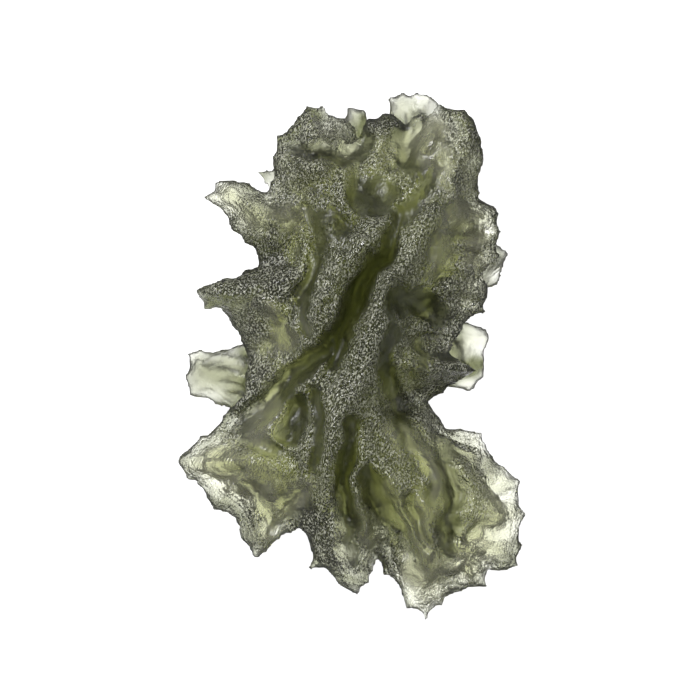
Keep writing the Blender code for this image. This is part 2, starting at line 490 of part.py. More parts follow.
def glass():
    """Green natural glass: clear, with the colour in its depth."""
    material = bpy.data.materials.new("moldavite_glass")
    material.use_nodes = True
    shader = material.node_tree.nodes["Principled BSDF"]
    shader.inputs["Base Color"].default_value = (0.31, 0.34, 0.17, 1)
    shader.inputs["Roughness"].default_value = 0.25
    shader.inputs["IOR"].default_value = 1.49
    shader.inputs["Transmission Weight"].default_value = 1.0
    return material


def moldavite():
    """The stone: its skin on a grid, fewer faces, then set on the ground about its own middle."""
    margin = 3 * GRID_STEP
    xs = np.arange(-HALF_ROOM[0] - margin, HALF_ROOM[0] + margin, GRID_STEP)
    ys = np.arange(-HALF_ROOM[1] - margin, HALF_ROOM[1] + margin, GRID_STEP)
    zs = np.arange(-3, HALF_ROOM[2] * 2 / GRID_STEP) * GRID_STEP
    field = tidy_cells(stone_field(xs, ys, zs))
    points, quads = largest_body(*skin(field, np.array([xs[0], ys[0], zs[0]]), GRID_STEP))
    mesh = bpy.data.meshes.new("moldavite")
    mesh.from_pydata((points * MM).tolist(), [], quads.tolist())
    stone = bpy.data.objects.new("moldavite", mesh)
    bpy.context.scene.collection.objects.link(stone)
    fewer = stone.modifiers.new("fewer faces", "DECIMATE")
    fewer.ratio = TRIANGLES / (2 * len(quads))
    thinned = stone.evaluated_get(bpy.context.evaluated_depsgraph_get())
    stone.data = bpy.data.meshes.new_from_object(thinned)
    stone.modifiers.clear()
    place = np.empty(3 * len(stone.data.vertices), np.float32)
    stone.data.vertices.foreach_get("co", place)
    place = place.reshape(-1, 3)
    place[:, :2] -= (place.min(axis=0) + place.max(axis=0))[:2] / 2
    place[place[:, 2] < FLAT_WITHIN * MM, 2] = 0
    stone.data.vertices.foreach_set("co", place.ravel())
    stone.data.materials.append(glass())
    return stone


for old in list(bpy.data.objects):
    bpy.data.objects.remove(old)
moldavite()
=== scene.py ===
import bpy
import numpy as np
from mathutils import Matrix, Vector


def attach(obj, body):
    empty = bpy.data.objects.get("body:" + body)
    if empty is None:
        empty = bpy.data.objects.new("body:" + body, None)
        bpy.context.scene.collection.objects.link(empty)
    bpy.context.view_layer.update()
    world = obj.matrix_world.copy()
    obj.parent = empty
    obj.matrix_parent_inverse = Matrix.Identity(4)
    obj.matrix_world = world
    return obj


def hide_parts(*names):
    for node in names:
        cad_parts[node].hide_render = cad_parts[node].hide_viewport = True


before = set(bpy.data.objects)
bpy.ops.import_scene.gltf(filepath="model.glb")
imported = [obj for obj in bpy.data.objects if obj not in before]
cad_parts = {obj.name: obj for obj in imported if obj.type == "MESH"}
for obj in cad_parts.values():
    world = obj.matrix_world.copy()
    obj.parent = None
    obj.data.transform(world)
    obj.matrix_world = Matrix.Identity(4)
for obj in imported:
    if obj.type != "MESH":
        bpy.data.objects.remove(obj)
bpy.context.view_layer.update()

# -------------------------------------------------------------------------------------------------
# The stone: one piece of green natural glass, melted by an impact and then etched by the ground.
# Two ragged leaves, a broad front one and a thinner back one, are one body in the middle, with
# spines between them. They overlap and undercut, which no surface of two parameters can follow, so
# the skin is drawn round a 3-D field of distances. Its lengths are in millimetres.
# -------------------------------------------------------------------------------------------------

MM = 0.001

# The two leaves.
FRONT_HEIGHT = 5.8  # middle plane of the front leaf above the ground
BACK_HEIGHT = 3.1
FRONT_LIFT = 1.3  # how far the front leaf's lobes curl up and down
BACK_LIFT = 0.9
FRONT_CURL = 0.6  # turn that sets where the curls stand round the rim
BACK_CURL = 2.9
CURLS = ((0.8, 3, 1.0), (0.6, 7, 2.3), (0.35, 13, 4.1))  # height, how many, share of the turn
CURL_OUT = (9.0, 14.5)  # how far out, across and along, the curls have their full height
CURL_MOST = 1.2
LONG = 1.55  # how much longer the stone is than wide
LEAF_GAP = 1.3  # least height between the two middle planes
FRONT_SWELL = 1.0  # half thickness of the front leaf 1 mm in from its rim
BACK_SWELL = 0.72
FRONT_UNDER = 0.8  # how far a leaf swells below its middle plane, as a share of how far above it
BACK_UNDER = 1.2
PALE_THINNER = 0.2  # what pale places lack of those shares
PALE_UNDER = 0.3  # the same for the underside of the stone
SWELL_POWER = 0.68  # how fast both leaves thicken further in
RIM_BLUNT = 0.06  # rounding of the knife edge
RIM_GROWN = 0.12  # how far the leaves reach past the rim lines below
CORE = (-0.2, -0.5, 5.2, 11.0, 1.3)  # thickest place: x, y, half width, half length, extra height
BLEND = 0.5  # fillet where the leaves and the spines run into each other
SPINE_TAPER = 0.8
SPINE_TIP = 0.12  # radius of a spine's rounded tip

# Ribs, grooves and flutes.
LEAST_LEFT = 0.38  # share of a leaf's thickness that no groove cuts into
RIM_FADE = 1.2  # how far in from a rim they have their full depth
RIM_SHARE = 0.25  # share of that depth at the front rim itself
WANDER = 0.14  # how far they stray from the lines below
BACK_TURN = 0.88  # the underside has the front's ribs and grooves, half a turn round and this size
UNDER_RELIEF = 0.8  # and with this share of their depth
AXIS = ((3.0, 8.5), (-1.2, -8.5))  # line that the flutes fan out from
FAN_FROM = 5.0  # past this distance from it they point straight away from it
FLUTE_ROOM = (12, 18)  # half the width and length that they cover
FLUTE_SPACING = (1.0, 1.3)
FLUTE_LENGTH = 2.6
FLUTE_DEPTH = 0.5
FLUTE_HALF = (0.3, 0.7)  # least and most half length, as shares of the length above
FLUTE_DEEP = (0.3, 1.0)  # the same for the depth
FLUTE_WIDTH = (0.3, 0.6)  # least and most half width
FLUTE_STRAY = 0.16  # how far their directions stray
FRONT_INNER = 0.6  # share of the flutes' depth on the faces that look at each other
BACK_INNER = 0.4
CALM = 0.8  # share of the flutes' depth that pale places lack

# Etched hollows, as spacings across, along and up the stone, and depths.
SCOOP_SPACING = (1.3, 1.7, 1.3)  # all over the skin
SCOOP_DEPTH = 0.16
SMALL_SPACING = (0.55, 0.75, 0.55)  # small ones over the larger ones
SMALL_DEPTH = 0.07
BITE_SPACING = (1.0, 1.0, 1.0)  # small bites along the rims
BITE_DEPTH = 0.28
BITE_MEAN = 0.4  # taken off, so that the bites leave a rim where it is on the whole
SCOOP_SPAN = 0.64  # square of how far a hollow reaches, in spacings
SCOOP_WITHIN = 0.8  # no hollow is worked out further from the skin than this
SCOOP_RIM = 0.15  # least share of the depth, on the rims

# The grid that the field is worked out on.
GRID_STEP = 0.15
GRID_MARGIN = 3  # empty steps round the stone
HALF_ROOM = (11.8, 17.8, 6.4)  # half the box that the stone is made in
FLAT_WITHIN = 0.05  # points this near the ground lie on it
MOST_TRIANGLES = 190000

# Frost, from 0 to 1.
CREST_REACH = 0.9  # how far round a place the skin is compared with it, to find the crests
FLAT_FROST = 0.95  # frost where the skin neither stands out nor lies deep
CREST_FROST = 1.0  # frost for each millimetre that it stands out
SMOOTH_BARE = 0.62  # frost that a smooth place lacks
GROOVE_SMOOTH = 0.2  # how smooth a groove is for each millimetre of its depth
LEAST_FROST = 0.20
BLADE_FROST = 0.15  # share of the frost that the thin back blades have
BLADE_EDGE = 0.6  # how far in from the front rim the frost has its full share

# Depth of the skin's tint, from 0 (pale) to 1 (deep): painted shade and painted light.
COLOUR_MOST = 0.4  # over most of the stone
SHADE_AND_LIGHT_STROKE = 0.6  # what a full stroke below adds or takes away
COLOUR_BLADE = 0.12  # what the back blades lack
COLOUR_BLADE_OUT = 0.4  # how far past the front rim they lack all of it
# The dark band inside the front rim is painted shade.
RIM_SHADE = 0.45  # what the dark band inside the front rim adds
RIM_SHADE_LEAST = 0.25  # what is left of it where it crosses a pale place
RIM_SHADE_IN = 0.4  # middle of the band, in from the rim
RIM_SHADE_HALF = 1.2  # its half width
COLOUR_WANDER = 0.3
WRINKLE_WANDER = 0.2

# Rims, clockwise seen from the front: (x, y, hollow), where hollow is how deep the edge is eaten in
# between this corner and the next. A minus sign is an edge that bulges out.
FRONT_RIM = [
    # top
    (-2.9, 16.3, 0.0), (-1.1, 15.6, 0.0), (-0.4, 15.7, 0.0), (0.6, 14.5, 0.0), (1.2, 15.5, 0.1),
    (2.1, 15.9, 0.1), (3.2, 15.7, 0.0), (3.6, 15.4, -0.1), (4.8, 16.0, 0.0), (5.9, 16.3, 0.1),
    # right side
    (7.5, 16.1, 0.0), (8.4, 14.3, 0.1), (8.9, 12.9, 0.3), (8.5, 10.3, -0.1), (9.7, 9.2, 0.0),
    (9.7, 6.4, 0.3), (9.1, 3.9, 0.1), (8.8, 2.7, 0.0), (7.7, 2.2, 0.0), (6.5, 0.1, 0.0),
    (8.4, -1.2, 0.0), (6.5, -2.3, -0.1), (5.0, -3.2, 0.1), (6.3, -4.9, 0.1), (8.6, -5.3, 0.0),
    # lower right fan
    (9.3, -6.7, 0.0), (11.1, -8.5, 0.2), (11.4, -10.6, 0.3), (11.3, -12.7, 0.1), (11.0, -14.1, 0.0),
    (9.1, -14.4, 0.1), (8.9, -15.5, 0.1), (6.5, -15.9, 0.1), (6.0, -16.5, 0.1), (5.4, -16.7, 0.1),
    (4.9, -17.5, 0.1), (4.4, -17.0, 0.0), (3.6, -16.9, 0.1), (3.0, -15.3, 0.1), (2.1, -14.6, 0.0),
    # bottom tongue
    (1.7, -13.5, 0.0), (1.2, -14.9, -0.1), (0.4, -15.7, -0.1), (-0.7, -15.1, -0.1),
    (-1.6, -14.0, 0.1), (-2.8, -14.1, 0.1), (-2.7, -12.7, 0.1), (-3.4, -11.6, 0.0),
    # lower left lobe
    (-4.4, -12.0, 0.0), (-5.4, -12.9, 0.1), (-6.2, -13.7, 0.0), (-6.8, -13.1, 0.0),
    (-7.4, -11.6, 0.1), (-7.7, -11.4, 0.0), (-7.7, -10.8, 0.1), (-9.1, -10.4, 0.1),
    (-9.7, -9.0, 0.1), (-10.7, -8.3, 0.0), (-11.5, -7.2, 0.0), (-11.0, -6.5, 0.0),
    (-10.1, -5.6, 0.1), (-8.8, -4.7, 0.1),
    # left side, with its spike and the lobe above
    (-8.2, -3.7, 0.0), (-7.2, -2.6, 0.0), (-6.8, -1.0, 0.0), (-7.2, 0.4, 0.0), (-7.6, 1.5, 0.1),
    (-8.6, 2.8, 0.1), (-9.7, 3.0, 0.1), (-10.1, 4.1, 0.1), (-8.9, 4.7, 0.1), (-6.6, 5.5, 0.1),
    (-6.2, 6.1, 0.0), (-6.6, 7.0, -0.1), (-7.3, 7.7, 0.0), (-7.9, 8.0, 0.1), (-8.3, 9.0, 0.1),
    (-9.7, 10.2, 0.0), (-9.0, 10.6, 0.0), (-8.9, 11.2, 0.0), (-7.7, 11.5, 0.1), (-6.6, 11.0, 0.0),
    # up to the top left tip
    (-5.5, 10.6, 0.1), (-5.2, 12.5, 0.0), (-5.2, 12.9, 0.0), (-4.9, 14.3, 0.1), (-4.0, 15.0, 0.0),
]
BACK_RIM = [
    # two clear blades at the top
    (-0.1, 16.5, 0.0), (0.8, 16.1, 0.1), (1.3, 14.9, 0.0), (2.6, 15.7, 0.0), (2.6, 16.9, 0.0),
    (3.4, 17.5, 0.1), (4.1, 17.2, 0.0), (5.2, 17.0, 0.0), (5.9, 16.1, 0.1),
    # right side, with the cusp and the blade below it
    (7.7, 14.3, 0.1), (8.6, 11.0, 0.1), (7.9, 9.9, 0.0), (9.0, 8.4, 0.0), (10.3, 6.6, 0.1),
    (9.9, 5.5, 0.1), (9.8, 4.6, 0.1), (8.3, 3.7, 0.1), (7.3, 2.2, 0.0), (8.8, 1.5, 0.0),
    (9.1, 1.0, 0.0), (8.7, 0.2, 0.1), (8.9, -1.7, 0.0), (7.8, -2.4, 0.0), (6.3, -2.4, 0.0),
    # behind the lower right fan and the bottom tongue
    (4.8, -2.8, 0.2), (5.8, -5.3, 0.1), (8.2, -6.4, 0.2), (8.7, -8.1, 0.2), (9.4, -9.6, 0.2),
    (9.0, -11.6, 0.2), (9.4, -13.3, 0.2), (7.5, -13.7, 0.1), (6.6, -15.3, 0.1), (4.9, -16.5, 0.2),
    (3.2, -14.2, 0.0), (1.7, -12.5, 0.1), (0.5, -14.5, 0.2), (-1.7, -13.0, 0.2), (-3.3, -10.8, 0.1),
    # behind the lower left lobe
    (-6.0, -12.2, 0.2), (-6.9, -10.1, 0.2), (-8.6, -9.2, 0.2), (-9.5, -7.2, 0.2), (-7.7, -4.3, 0.0),
    # clear blade on the left
    (-8.2, -3.7, 0.0), (-9.4, -3.2, 0.0), (-10.7, -2.7, 0.1), (-11.0, -1.6, 0.1), (-10.9, 0.0, 0.0),
    (-8.7, 0.2, 0.0),
    # behind the upper left, with one small spike out
    (-7.2, 0.7, 0.1), (-7.9, 3.4, 0.2), (-5.7, 5.8, 0.1), (-7.5, 8.6, 0.2), (-5.4, 10.4, 0.1),
    (-6.2, 12.0, 0.0), (-5.4, 12.1, 0.2), (-4.2, 13.9, 0.2), (-1.9, 14.8, 0.1), (-0.5, 15.6, 0.0),
    (-0.4, 16.3, 0.0),
]

# Raised ribs of the front: (half width, [(x, y, height), ...]), rounded across.
FRONT_RIBS = [
    (1.5, [(5.8, 10.0, 0.3), (3.5, 7.0, 1.0), (2.2, 4.7, 1.3), (1.7, 1.7, 1.4), (0.9, -0.6, 1.3),
           (0.3, -2.6, 1.1), (-0.8, -4.3, 1.0), (-1.1, -6.3, 0.9), (-1.8, -11.6, 0.3)]),
    (1.2, [(1.7, 8.3, 0.6), (-0.1, 6.2, 1.0), (-1.8, 4.7, 1.2), (-2.3, 3.0, 1.1),
           (-2.6, 1.0, 0.5)]),
    (0.5, [(-0.3, 12.6, 0.5), (-0.3, 10.0, 0.8), (0.0, 8.6, 0.3)]),
    (0.5, [(2.8, 1.4, 0.6), (3.0, -1.8, 0.6)]),
    # top lobes
    (0.6, [(0.9, 11.3, 0.4), (1.7, 13.6, 0.6), (2.1, 15.6, 0.3)]),
    (0.6, [(-1.5, 11.8, 0.4), (-2.6, 13.9, 0.6), (-2.9, 16.0, 0.3)]),
    (0.6, [(3.2, 11.0, 0.5), (4.8, 13.6, 0.6), (5.9, 16.0, 0.3)]),
    (0.5, [(6.8, 11.6, 0.4), (7.8, 13.9, 0.5), (7.5, 15.9, 0.3)]),
    # right side
    (0.6, [(6.6, 11.0, 0.6), (7.0, 9.3, 0.6), (6.2, 7.6, 0.6), (5.3, 6.0, 0.3)]),
    (0.8, [(3.2, -1.1, 0.4), (5.2, -1.1, 0.8), (6.8, -0.8, 0.8), (8.1, -1.1, 0.3)]),
    # lower right fan
    (0.7, [(3.3, -4.8, 0.4), (5.3, -7.1, 0.9), (5.9, -8.4, 1.0), (5.8, -9.9, 0.8),
           (4.8, -11.9, 0.3)]),
    (0.5, [(1.7, -7.4, 0.5), (3.0, -9.4, 0.8), (4.1, -11.6, 0.8), (5.2, -14.1, 0.3)]),
    (0.5, [(0.0, -8.2, 0.5), (0.7, -10.6, 0.6), (1.7, -13.3, 0.3)]),
    (0.6, [(6.8, -7.6, 0.4), (8.8, -8.2, 0.5), (10.9, -8.6, 0.2)]),
    (0.6, [(6.5, -10.4, 0.4), (9.1, -10.6, 0.5), (11.1, -10.6, 0.2)]),
    (0.6, [(6.2, -12.2, 0.4), (8.8, -12.9, 0.5), (10.9, -13.7, 0.2)]),
    (0.6, [(5.8, -13.9, 0.4), (7.8, -14.5, 0.5), (8.8, -15.3, 0.2)]),
    # left side
    (0.8, [(-2.0, -1.1, 0.9), (-3.4, -2.1, 0.8), (-5.1, -3.3, 0.5)]),
    (0.8, [(-4.4, 4.5, 0.6), (-6.8, 4.3, 0.7), (-9.7, 3.5, 0.3)]),
    (0.8, [(-4.4, 8.6, 0.6), (-6.8, 10.0, 0.6), (-9.3, 10.3, 0.3)]),
    (0.7, [(-6.0, -6.6, 0.5), (-8.4, -6.9, 0.6), (-11.1, -7.2, 0.3)]),
    (0.7, [(-4.4, -7.6, 0.4), (-5.8, -10.2, 0.6), (-6.3, -13.3, 0.3)]),
]

# Grooves and hollows of the front: (half width, [(x, y, depth), ...]).
FRONT_GROOVES = [
    # the deep cleft down the middle, and the long flute that runs into it from the upper right
    (0.75, [(3.2, 8.8, 1.2), (2.2, 6.2, 2.6), (1.3, 5.0, 3.0), (0.4, 3.7, 3.0), (0.0, 2.2, 2.8),
           (-0.7, 0.5, 2.2), (-1.7, -1.2, 1.2)]),
    (0.8, [(6.8, 12.6, 0.5), (4.8, 10.3, 1.0), (3.5, 8.0, 1.4), (2.5, 6.2, 1.6)]),
    (1.3, [(0.9, 11.0, 0.9), (1.9, 9.5, 0.9)]),
    # top: a gully below the tip, three short flutes up to its edge, hollows of the right lobe
    (0.65, [(-4.2, 13.8, 0.6), (-2.8, 13.2, 1.3), (-0.5, 13.1, 1.3), (0.9, 14.4, 0.8)]),
    (0.45, [(-2.7, 15.5, 0.3), (-2.7, 13.6, 0.7)]),
    (0.45, [(-1.6, 15.2, 0.3), (-1.6, 13.6, 0.7)]),
    (0.45, [(-0.6, 15.2, 0.3), (-0.6, 13.6, 0.7)]),
    (0.8, [(5.8, 12.4, 0.9), (6.5, 14.9, 0.5)]),
    (0.7, [(3.5, 12.6, 0.8), (4.0, 14.9, 0.5)]),
    (0.6, [(7.7, 12.4, 0.8), (8.5, 11.3, 0.4)]),
    # left side from the top down
    (0.9, [(-5.4, 10.3, 0.6), (-3.4, 10.6, 0.9), (-1.5, 11.0, 0.9)]),
    (0.6, [(-3.2, 9.3, 1.0), (-2.1, 7.1, 1.2)]),
    (1.0, [(-7.5, 6.3, 0.4), (-4.4, 6.2, 1.0), (-3.4, 7.6, 0.9)]),
    (0.7, [(-2.3, 6.7, 0.8), (-3.2, 3.7, 1.2), (-3.0, 1.0, 0.8)]),
    (0.8, [(-4.0, 3.1, 1.0), (-5.4, 0.2, 0.8)]),
    (0.9, [(-7.1, 2.4, 0.5), (-5.1, 1.7, 0.9), (-4.1, -0.3, 0.8)]),
    (0.8, [(-0.9, 0.7, 1.6), (-3.4, -1.3, 2.0), (-6.0, -3.5, 1.8), (-7.7, -4.8, 0.8)]),
    # lower left lobe
    (0.9, [(-3.6, -3.7, 1.6), (-4.1, -5.6, 1.4)]),
    (0.8, [(-7.7, -5.6, 0.6), (-6.0, -6.4, 1.0), (-4.1, -6.6, 1.0)]),
    (0.6, [(-9.1, -8.2, 0.4), (-7.4, -8.1, 0.8)]),
    (0.7, [(-7.1, -8.9, 0.7), (-6.0, -9.6, 0.9), (-5.4, -11.6, 0.5)]),
    (0.8, [(-3.4, -9.2, 1.0), (-3.4, -11.4, 0.5)]),
    (0.6, [(-2.3, -2.6, 0.8), (-2.3, -7.1, 0.9), (-2.6, -9.6, 0.4)]),
    # bottom: the second long cleft and the bowl beside it
    (0.7, [(0.1, -4.6, 1.2), (-0.3, -7.2, 2.0), (-0.5, -9.9, 2.0), (-0.1, -11.9, 1.7),
           (0.5, -15.5, 0.6)]),
    (0.9, [(1.1, -8.2, 1.5), (2.2, -10.6, 1.8), (3.2, -12.9, 1.2)]),
    (0.5, [(3.7, -9.6, 0.9), (4.8, -12.5, 0.9)]),
    # lower right fan
    (1.0, [(6.2, -6.3, 0.6), (6.6, -8.9, 1.3), (6.5, -11.6, 1.3), (6.2, -13.5, 0.8)]),
    (0.7, [(9.8, -7.4, 0.4), (7.8, -6.6, 0.7), (5.8, -5.7, 0.6)]),
    (0.8, [(8.5, -7.6, 0.7), (9.8, -9.6, 0.8)]),
    (0.8, [(8.1, -11.9, 0.9), (9.1, -12.5, 0.6)]),
    (0.6, [(7.3, -14.5, 0.6), (5.8, -15.5, 0.3)]),
    # right side
    (0.8, [(2.4, -1.9, 1.6), (3.0, -3.5, 1.8), (4.2, -3.3, 0.9)]),
    (0.6, [(3.8, -2.7, 0.8), (6.2, -2.0, 0.5)]),
    (0.8, [(4.4, 0.7, 1.0), (6.5, 1.0, 0.8), (7.7, 1.7, 0.5)]),
    (1.1, [(3.3, 3.7, 1.2), (4.8, 2.7, 1.5), (6.2, 2.0, 0.8)]),
    (0.5, [(8.5, 3.3, 0.6), (6.5, 3.7, 0.7)]),
    (0.6, [(8.6, 5.0, 0.7), (5.8, 4.7, 0.8)]),
    (0.5, [(8.6, 6.5, 0.7), (6.8, 6.2, 0.5)]),
    (0.6, [(8.5, 8.0, 0.8), (6.6, 7.8, 0.6)]),
]

# Smooth places of the front, where the etching left little frost:
# (half width, [(x, y, strength), ...]).
SMOOTH = [
    (0.6, [(6.2, 12.4, 0.7), (5.0, 11.3, 1.0), (3.2, 8.6, 0.8), (1.5, 5.3, 0.6), (0.0, 3.7, 0.7),
           (-1.1, 0.4, 0.6), (-1.8, -1.0, 0.5)]),
    (1.4, [(1.0, 10.4, 1.5), (1.9, 10.2, 1.5)]),
    (1.2, [(-1.5, 9.0, 1.2), (-1.1, 7.6, 1.0)]),
    (0.7, [(-3.4, 13.4, 1.1), (-0.5, 12.6, 1.2), (0.8, 13.4, 1.0), (1.4, 14.9, 0.8)]),
    (1.4, [(4.0, 14.6, 1.3), (4.4, 12.0, 1.4)]),
    (0.7, [(2.4, 3.7, 1.0), (2.5, 0.4, 1.2), (2.2, -2.3, 0.9)]),
    (0.45, [(-2.4, 6.2, 1.0), (-3.1, 3.7, 1.3), (-3.0, 1.4, 0.9)]),
    (1.2, [(3.4, 3.4, 1.2), (5.6, 2.6, 1.1)]),
    (0.9, [(6.3, 9.2, 0.9), (5.4, 5.8, 1.0)]),
    (0.8, [(4.2, -1.0, 0.9), (6.5, 0.1, 0.9), (7.9, -1.0, 0.6)]),
    (0.9, [(-1.5, 0.4, 1.2), (-3.6, -1.9, 1.3), (-5.4, -3.6, 1.3), (-6.8, -4.9, 1.0)]),
    (1.0, [(-5.8, -3.8, 1.0), (-5.4, -5.8, 1.1)]),
    (0.9, [(-3.8, -4.0, 1.2), (-4.2, -5.2, 1.0)]),
    (0.5, [(-2.3, -3.0, 1.1), (-2.3, -6.9, 1.1)]),
    (0.55, [(-0.3, -4.6, 1.1), (-0.5, -7.6, 1.2), (-0.3, -10.9, 1.1), (0.2, -13.5, 0.8)]),
    (0.9, [(1.2, -8.2, 1.1), (2.4, -10.4, 1.0)]),
    (0.35, [(0.0, -9.6, 1.2), (1.5, -13.4, 1.1)]),
    (0.4, [(2.1, -8.1, 1.2), (3.4, -10.4, 1.2), (5.0, -13.9, 1.1)]),
    (0.8, [(3.3, -4.9, 1.2), (5.7, -8.1, 1.3), (4.6, -11.6, 1.2)]),
    (1.0, [(6.5, -6.5, 0.9), (6.4, -10.0, 1.0), (6.6, -13.0, 0.9)]),
    (0.9, [(-6.4, -8.6, 1.1), (-3.4, -9.9, 1.1), (-5.4, -12.0, 0.9)]),
]

# Where the glass looks dark, in the same form: painted shade, drawn as a deeper tint of its skin.
SHADE_STROKES = [
    (0.9, [(3.2, 8.3, 0.6), (2.2, 6.2, 0.9), (0.2, 3.7, 1.2), (-1.1, 0.4, 1.1), (-1.9, -1.2, 0.6)]),
    (1.3, [(1.1, 10.4, 0.9), (1.5, 10.0, 0.9)]),
    (1.2, [(3.3, 3.4, 1.1), (5.4, 3.0, 1.0)]),
    (1.4, [(-5.9, 7.0, 0.5), (-4.9, 4.9, 0.9), (-3.9, 3.3, 0.6)]),
    (0.8, [(-9.2, 3.9, 0.6), (-6.0, 4.0, 0.9)]),
    (0.9, [(-3.7, -4.3, 1.1), (-4.0, -5.4, 0.9)]),
    (1.0, [(6.4, -6.6, 0.6), (6.6, -12.0, 0.7)]),
    (0.7, [(5.0, -1.6, 0.9), (8.1, -1.1, 0.7)]),
    (0.7, [(2.8, -2.6, 0.9), (3.6, -4.0, 0.8)]),
    (0.6, [(-0.4, -4.9, 0.9), (-0.3, -10.6, 1.1)]),
    (0.3, [(0.4, -8.0, 0.8), (2.4, -11.6, 1.0), (4.2, -13.4, 0.7)]),
    (0.3, [(2.5, -1.8, 0.8), (3.4, -5.0, 0.9), (5.0, -9.9, 1.0)]),
    (0.3, [(3.6, 5.6, 0.6), (2.6, 2.6, 0.9), (2.5, -0.8, 0.9)]),
    (1.0, [(1.2, -8.0, 0.8), (2.5, -11.4, 0.8)]),
    (0.7, [(-2.8, -9.6, 0.6), (-2.7, -11.4, 0.9)]),
    (0.9, [(1.2, 14.9, 0.7), (2.6, 15.3, 0.6)]),
    (1.0, [(-4.4, 14.6, 0.6), (-3.0, 15.8, 0.6)]),
    (1.0, [(6.6, 15.6, 0.6), (7.8, 14.6, 0.6)]),
    (1.6, [(1.8, 1.7, 0.6), (0.3, -2.6, 0.5)]),
    (1.8, [(-9.8, -1.4, 0.7), (-8.0, -1.7, 0.7)]),
    (0.9, [(3.2, 16.6, 0.5), (4.6, 16.6, 0.5)]),
    (0.8, [(-6.8, 11.5, 1.1), (-5.6, 12.3, 1.1)]),
]

# Where it looks paler, as light comes through it. The stone is also thinner and calmer there, and
# its skin is given a paler tint, which is painted light.
THIN_AND_LIT = [
    (0.9, [(3.3, -4.9, 1.0), (5.6, -8.1, 1.2), (4.6, -11.6, 1.0)]),
    (1.3, [(-5.8, -8.9, 1.1), (-3.6, -9.6, 1.2)]),
    (1.0, [(-4.8, -11.0, 1.0), (-5.8, -12.4, 0.6)]),
    (1.0, [(-5.7, -3.6, 0.8), (-5.7, -5.6, 0.9)]),
    (0.4, [(0.0, -9.6, 0.9), (1.5, -13.4, 1.0)]),
    (0.5, [(2.1, -8.1, 1.0), (3.4, -10.4, 1.1), (5.0, -13.9, 1.1)]),
    (1.3, [(4.2, -13.6, 1.0), (5.2, -16.0, 1.2)]),
    (1.0, [(10.4, -9.0, 1.2), (10.2, -10.6, 1.1), (9.1, -12.4, 1.2), (7.4, -14.4, 1.2)]),
    (1.5, [(-9.8, -6.6, 0.9), (-7.6, -8.4, 0.9)]),
    (0.9, [(6.4, -4.9, 0.8), (8.4, -5.8, 0.9)]),
    (1.0, [(5.2, 15.6, 1.0), (5.0, 13.6, 0.8), (5.9, 12.2, 0.9)]),
    (0.9, [(6.8, 9.2, 0.9), (6.2, 7.6, 0.8), (5.4, 5.4, 0.8)]),
    (1.0, [(8.4, 8.6, 0.8), (8.6, 5.9, 0.9)]),
    (1.3, [(-8.6, 10.3, 1.1), (-6.8, 9.0, 0.9)]),
    (0.9, [(-4.6, 9.2, 0.6), (-3.6, 8.4, 0.6)]),
    (0.8, [(-5.4, 12.8, 0.9), (-5.2, 10.0, 0.8)]),
    (0.8, [(-2.6, 15.0, 0.5), (-1.0, 14.8, 0.5)]),
    (0.7, [(-5.0, 2.6, 1.0), (-4.6, 0.9, 1.0)]),
    (0.5, [(-3.1, 3.9, 0.6), (-2.9, 1.6, 0.6)]),
]

# Spines that stand out between the leaves: root, tip, root radius.
SPINES = [
    ((2.0, 9.0, 4.0), (7.2, 13.6, 3.6), 1.6),
    ((3.0, 5.0, 4.0), (8.9, 7.4, 4.4), 1.7),
    ((3.0, 3.0, 4.2), (8.2, 3.6, 3.4), 1.5),
    ((2.0, -1.0, 4.2), (7.6, -1.0, 3.9), 1.5),
    ((3.0, -6.0, 4.0), (8.6, -7.2, 4.3), 1.6),
    ((3.0, -8.0, 3.8), (10.2, -10.9, 3.5), 1.1),
    ((2.5, -10.0, 4.0), (8.4, -14.4, 4.4), 1.0),
    ((1.5, -10.0, 3.8), (4.6, -16.2, 3.4), 0.9),
    ((-1.0, -9.0, 3.9), (0.2, -14.9, 4.2), 1.4),
    ((-2.0, -7.0, 4.0), (-6.0, -12.6, 3.6), 0.9),
    ((-3.0, -5.0, 3.9), (-10.0, -7.4, 4.4), 1.6),
    ((-2.0, -2.0, 4.1), (-7.2, -3.2, 3.6), 1.5),
    ((-2.0, 2.0, 4.0), (-9.0, 3.4, 3.9), 1.6),
    ((-2.0, 6.0, 4.0), (-7.8, 9.6, 3.5), 1.6),
    ((-1.0, 9.0, 3.9), (-4.4, 13.9, 4.3), 1.5),
    ((0.5, 9.0, 3.8), (0.9, 15.0, 3.7), 1.4),
]


def rim_line(rim):
    """Corner points of a rim with its hollow edges filled in: each edge is a shallow parabola."""
    points = []
    for (ax, ay, hollow), (bx, by, _) in zip(rim, rim[1:] + rim[:1]):
        length = np.hypot(bx - ax, by - ay)
        into = ((by - ay) / length, -(bx - ax) / length)
        for t in (0.0, 0.25, 0.5, 0.75) if hollow else (0.0,):
            dip = 4 * hollow * t * (1 - t)
            points.append((ax + t * (bx - ax) + into[0] * dip, ay + t * (by - ay) + into[1] * dip))
    return points


def along(x, y, ax, ay, bx, by):
    """Distance from the line a-b, and how far along it the nearest place is, from 0 to 1."""
    ex, ey = bx - ax, by - ay
    t = np.clip(((x - ax) * ex + (y - ay) * ey) / (ex * ex + ey * ey), 0, 1)
    return np.hypot(x - ax - t * ex, y - ay - t * ey), t


def inside(x, y, rim):
    """Distance in from the rim, negative outside it: the least over its edges, with the sign from
    how often a line to the side crosses them."""
    line = rim_line(rim)
    nearest = np.full(x.shape, 99.0)
    within = np.zeros(x.shape, bool)
    for (ax, ay), (bx, by) in zip(line, line[1:] + line[:1]):
        nearest = np.minimum(nearest, along(x, y, ax, ay, bx, by)[0])
        if ay != by:
            within ^= ((ay > y) != (by > y)) & (x < ax + (y - ay) * (bx - ax) / (by - ay))
    return np.where(within, nearest, -nearest) + RIM_GROWN


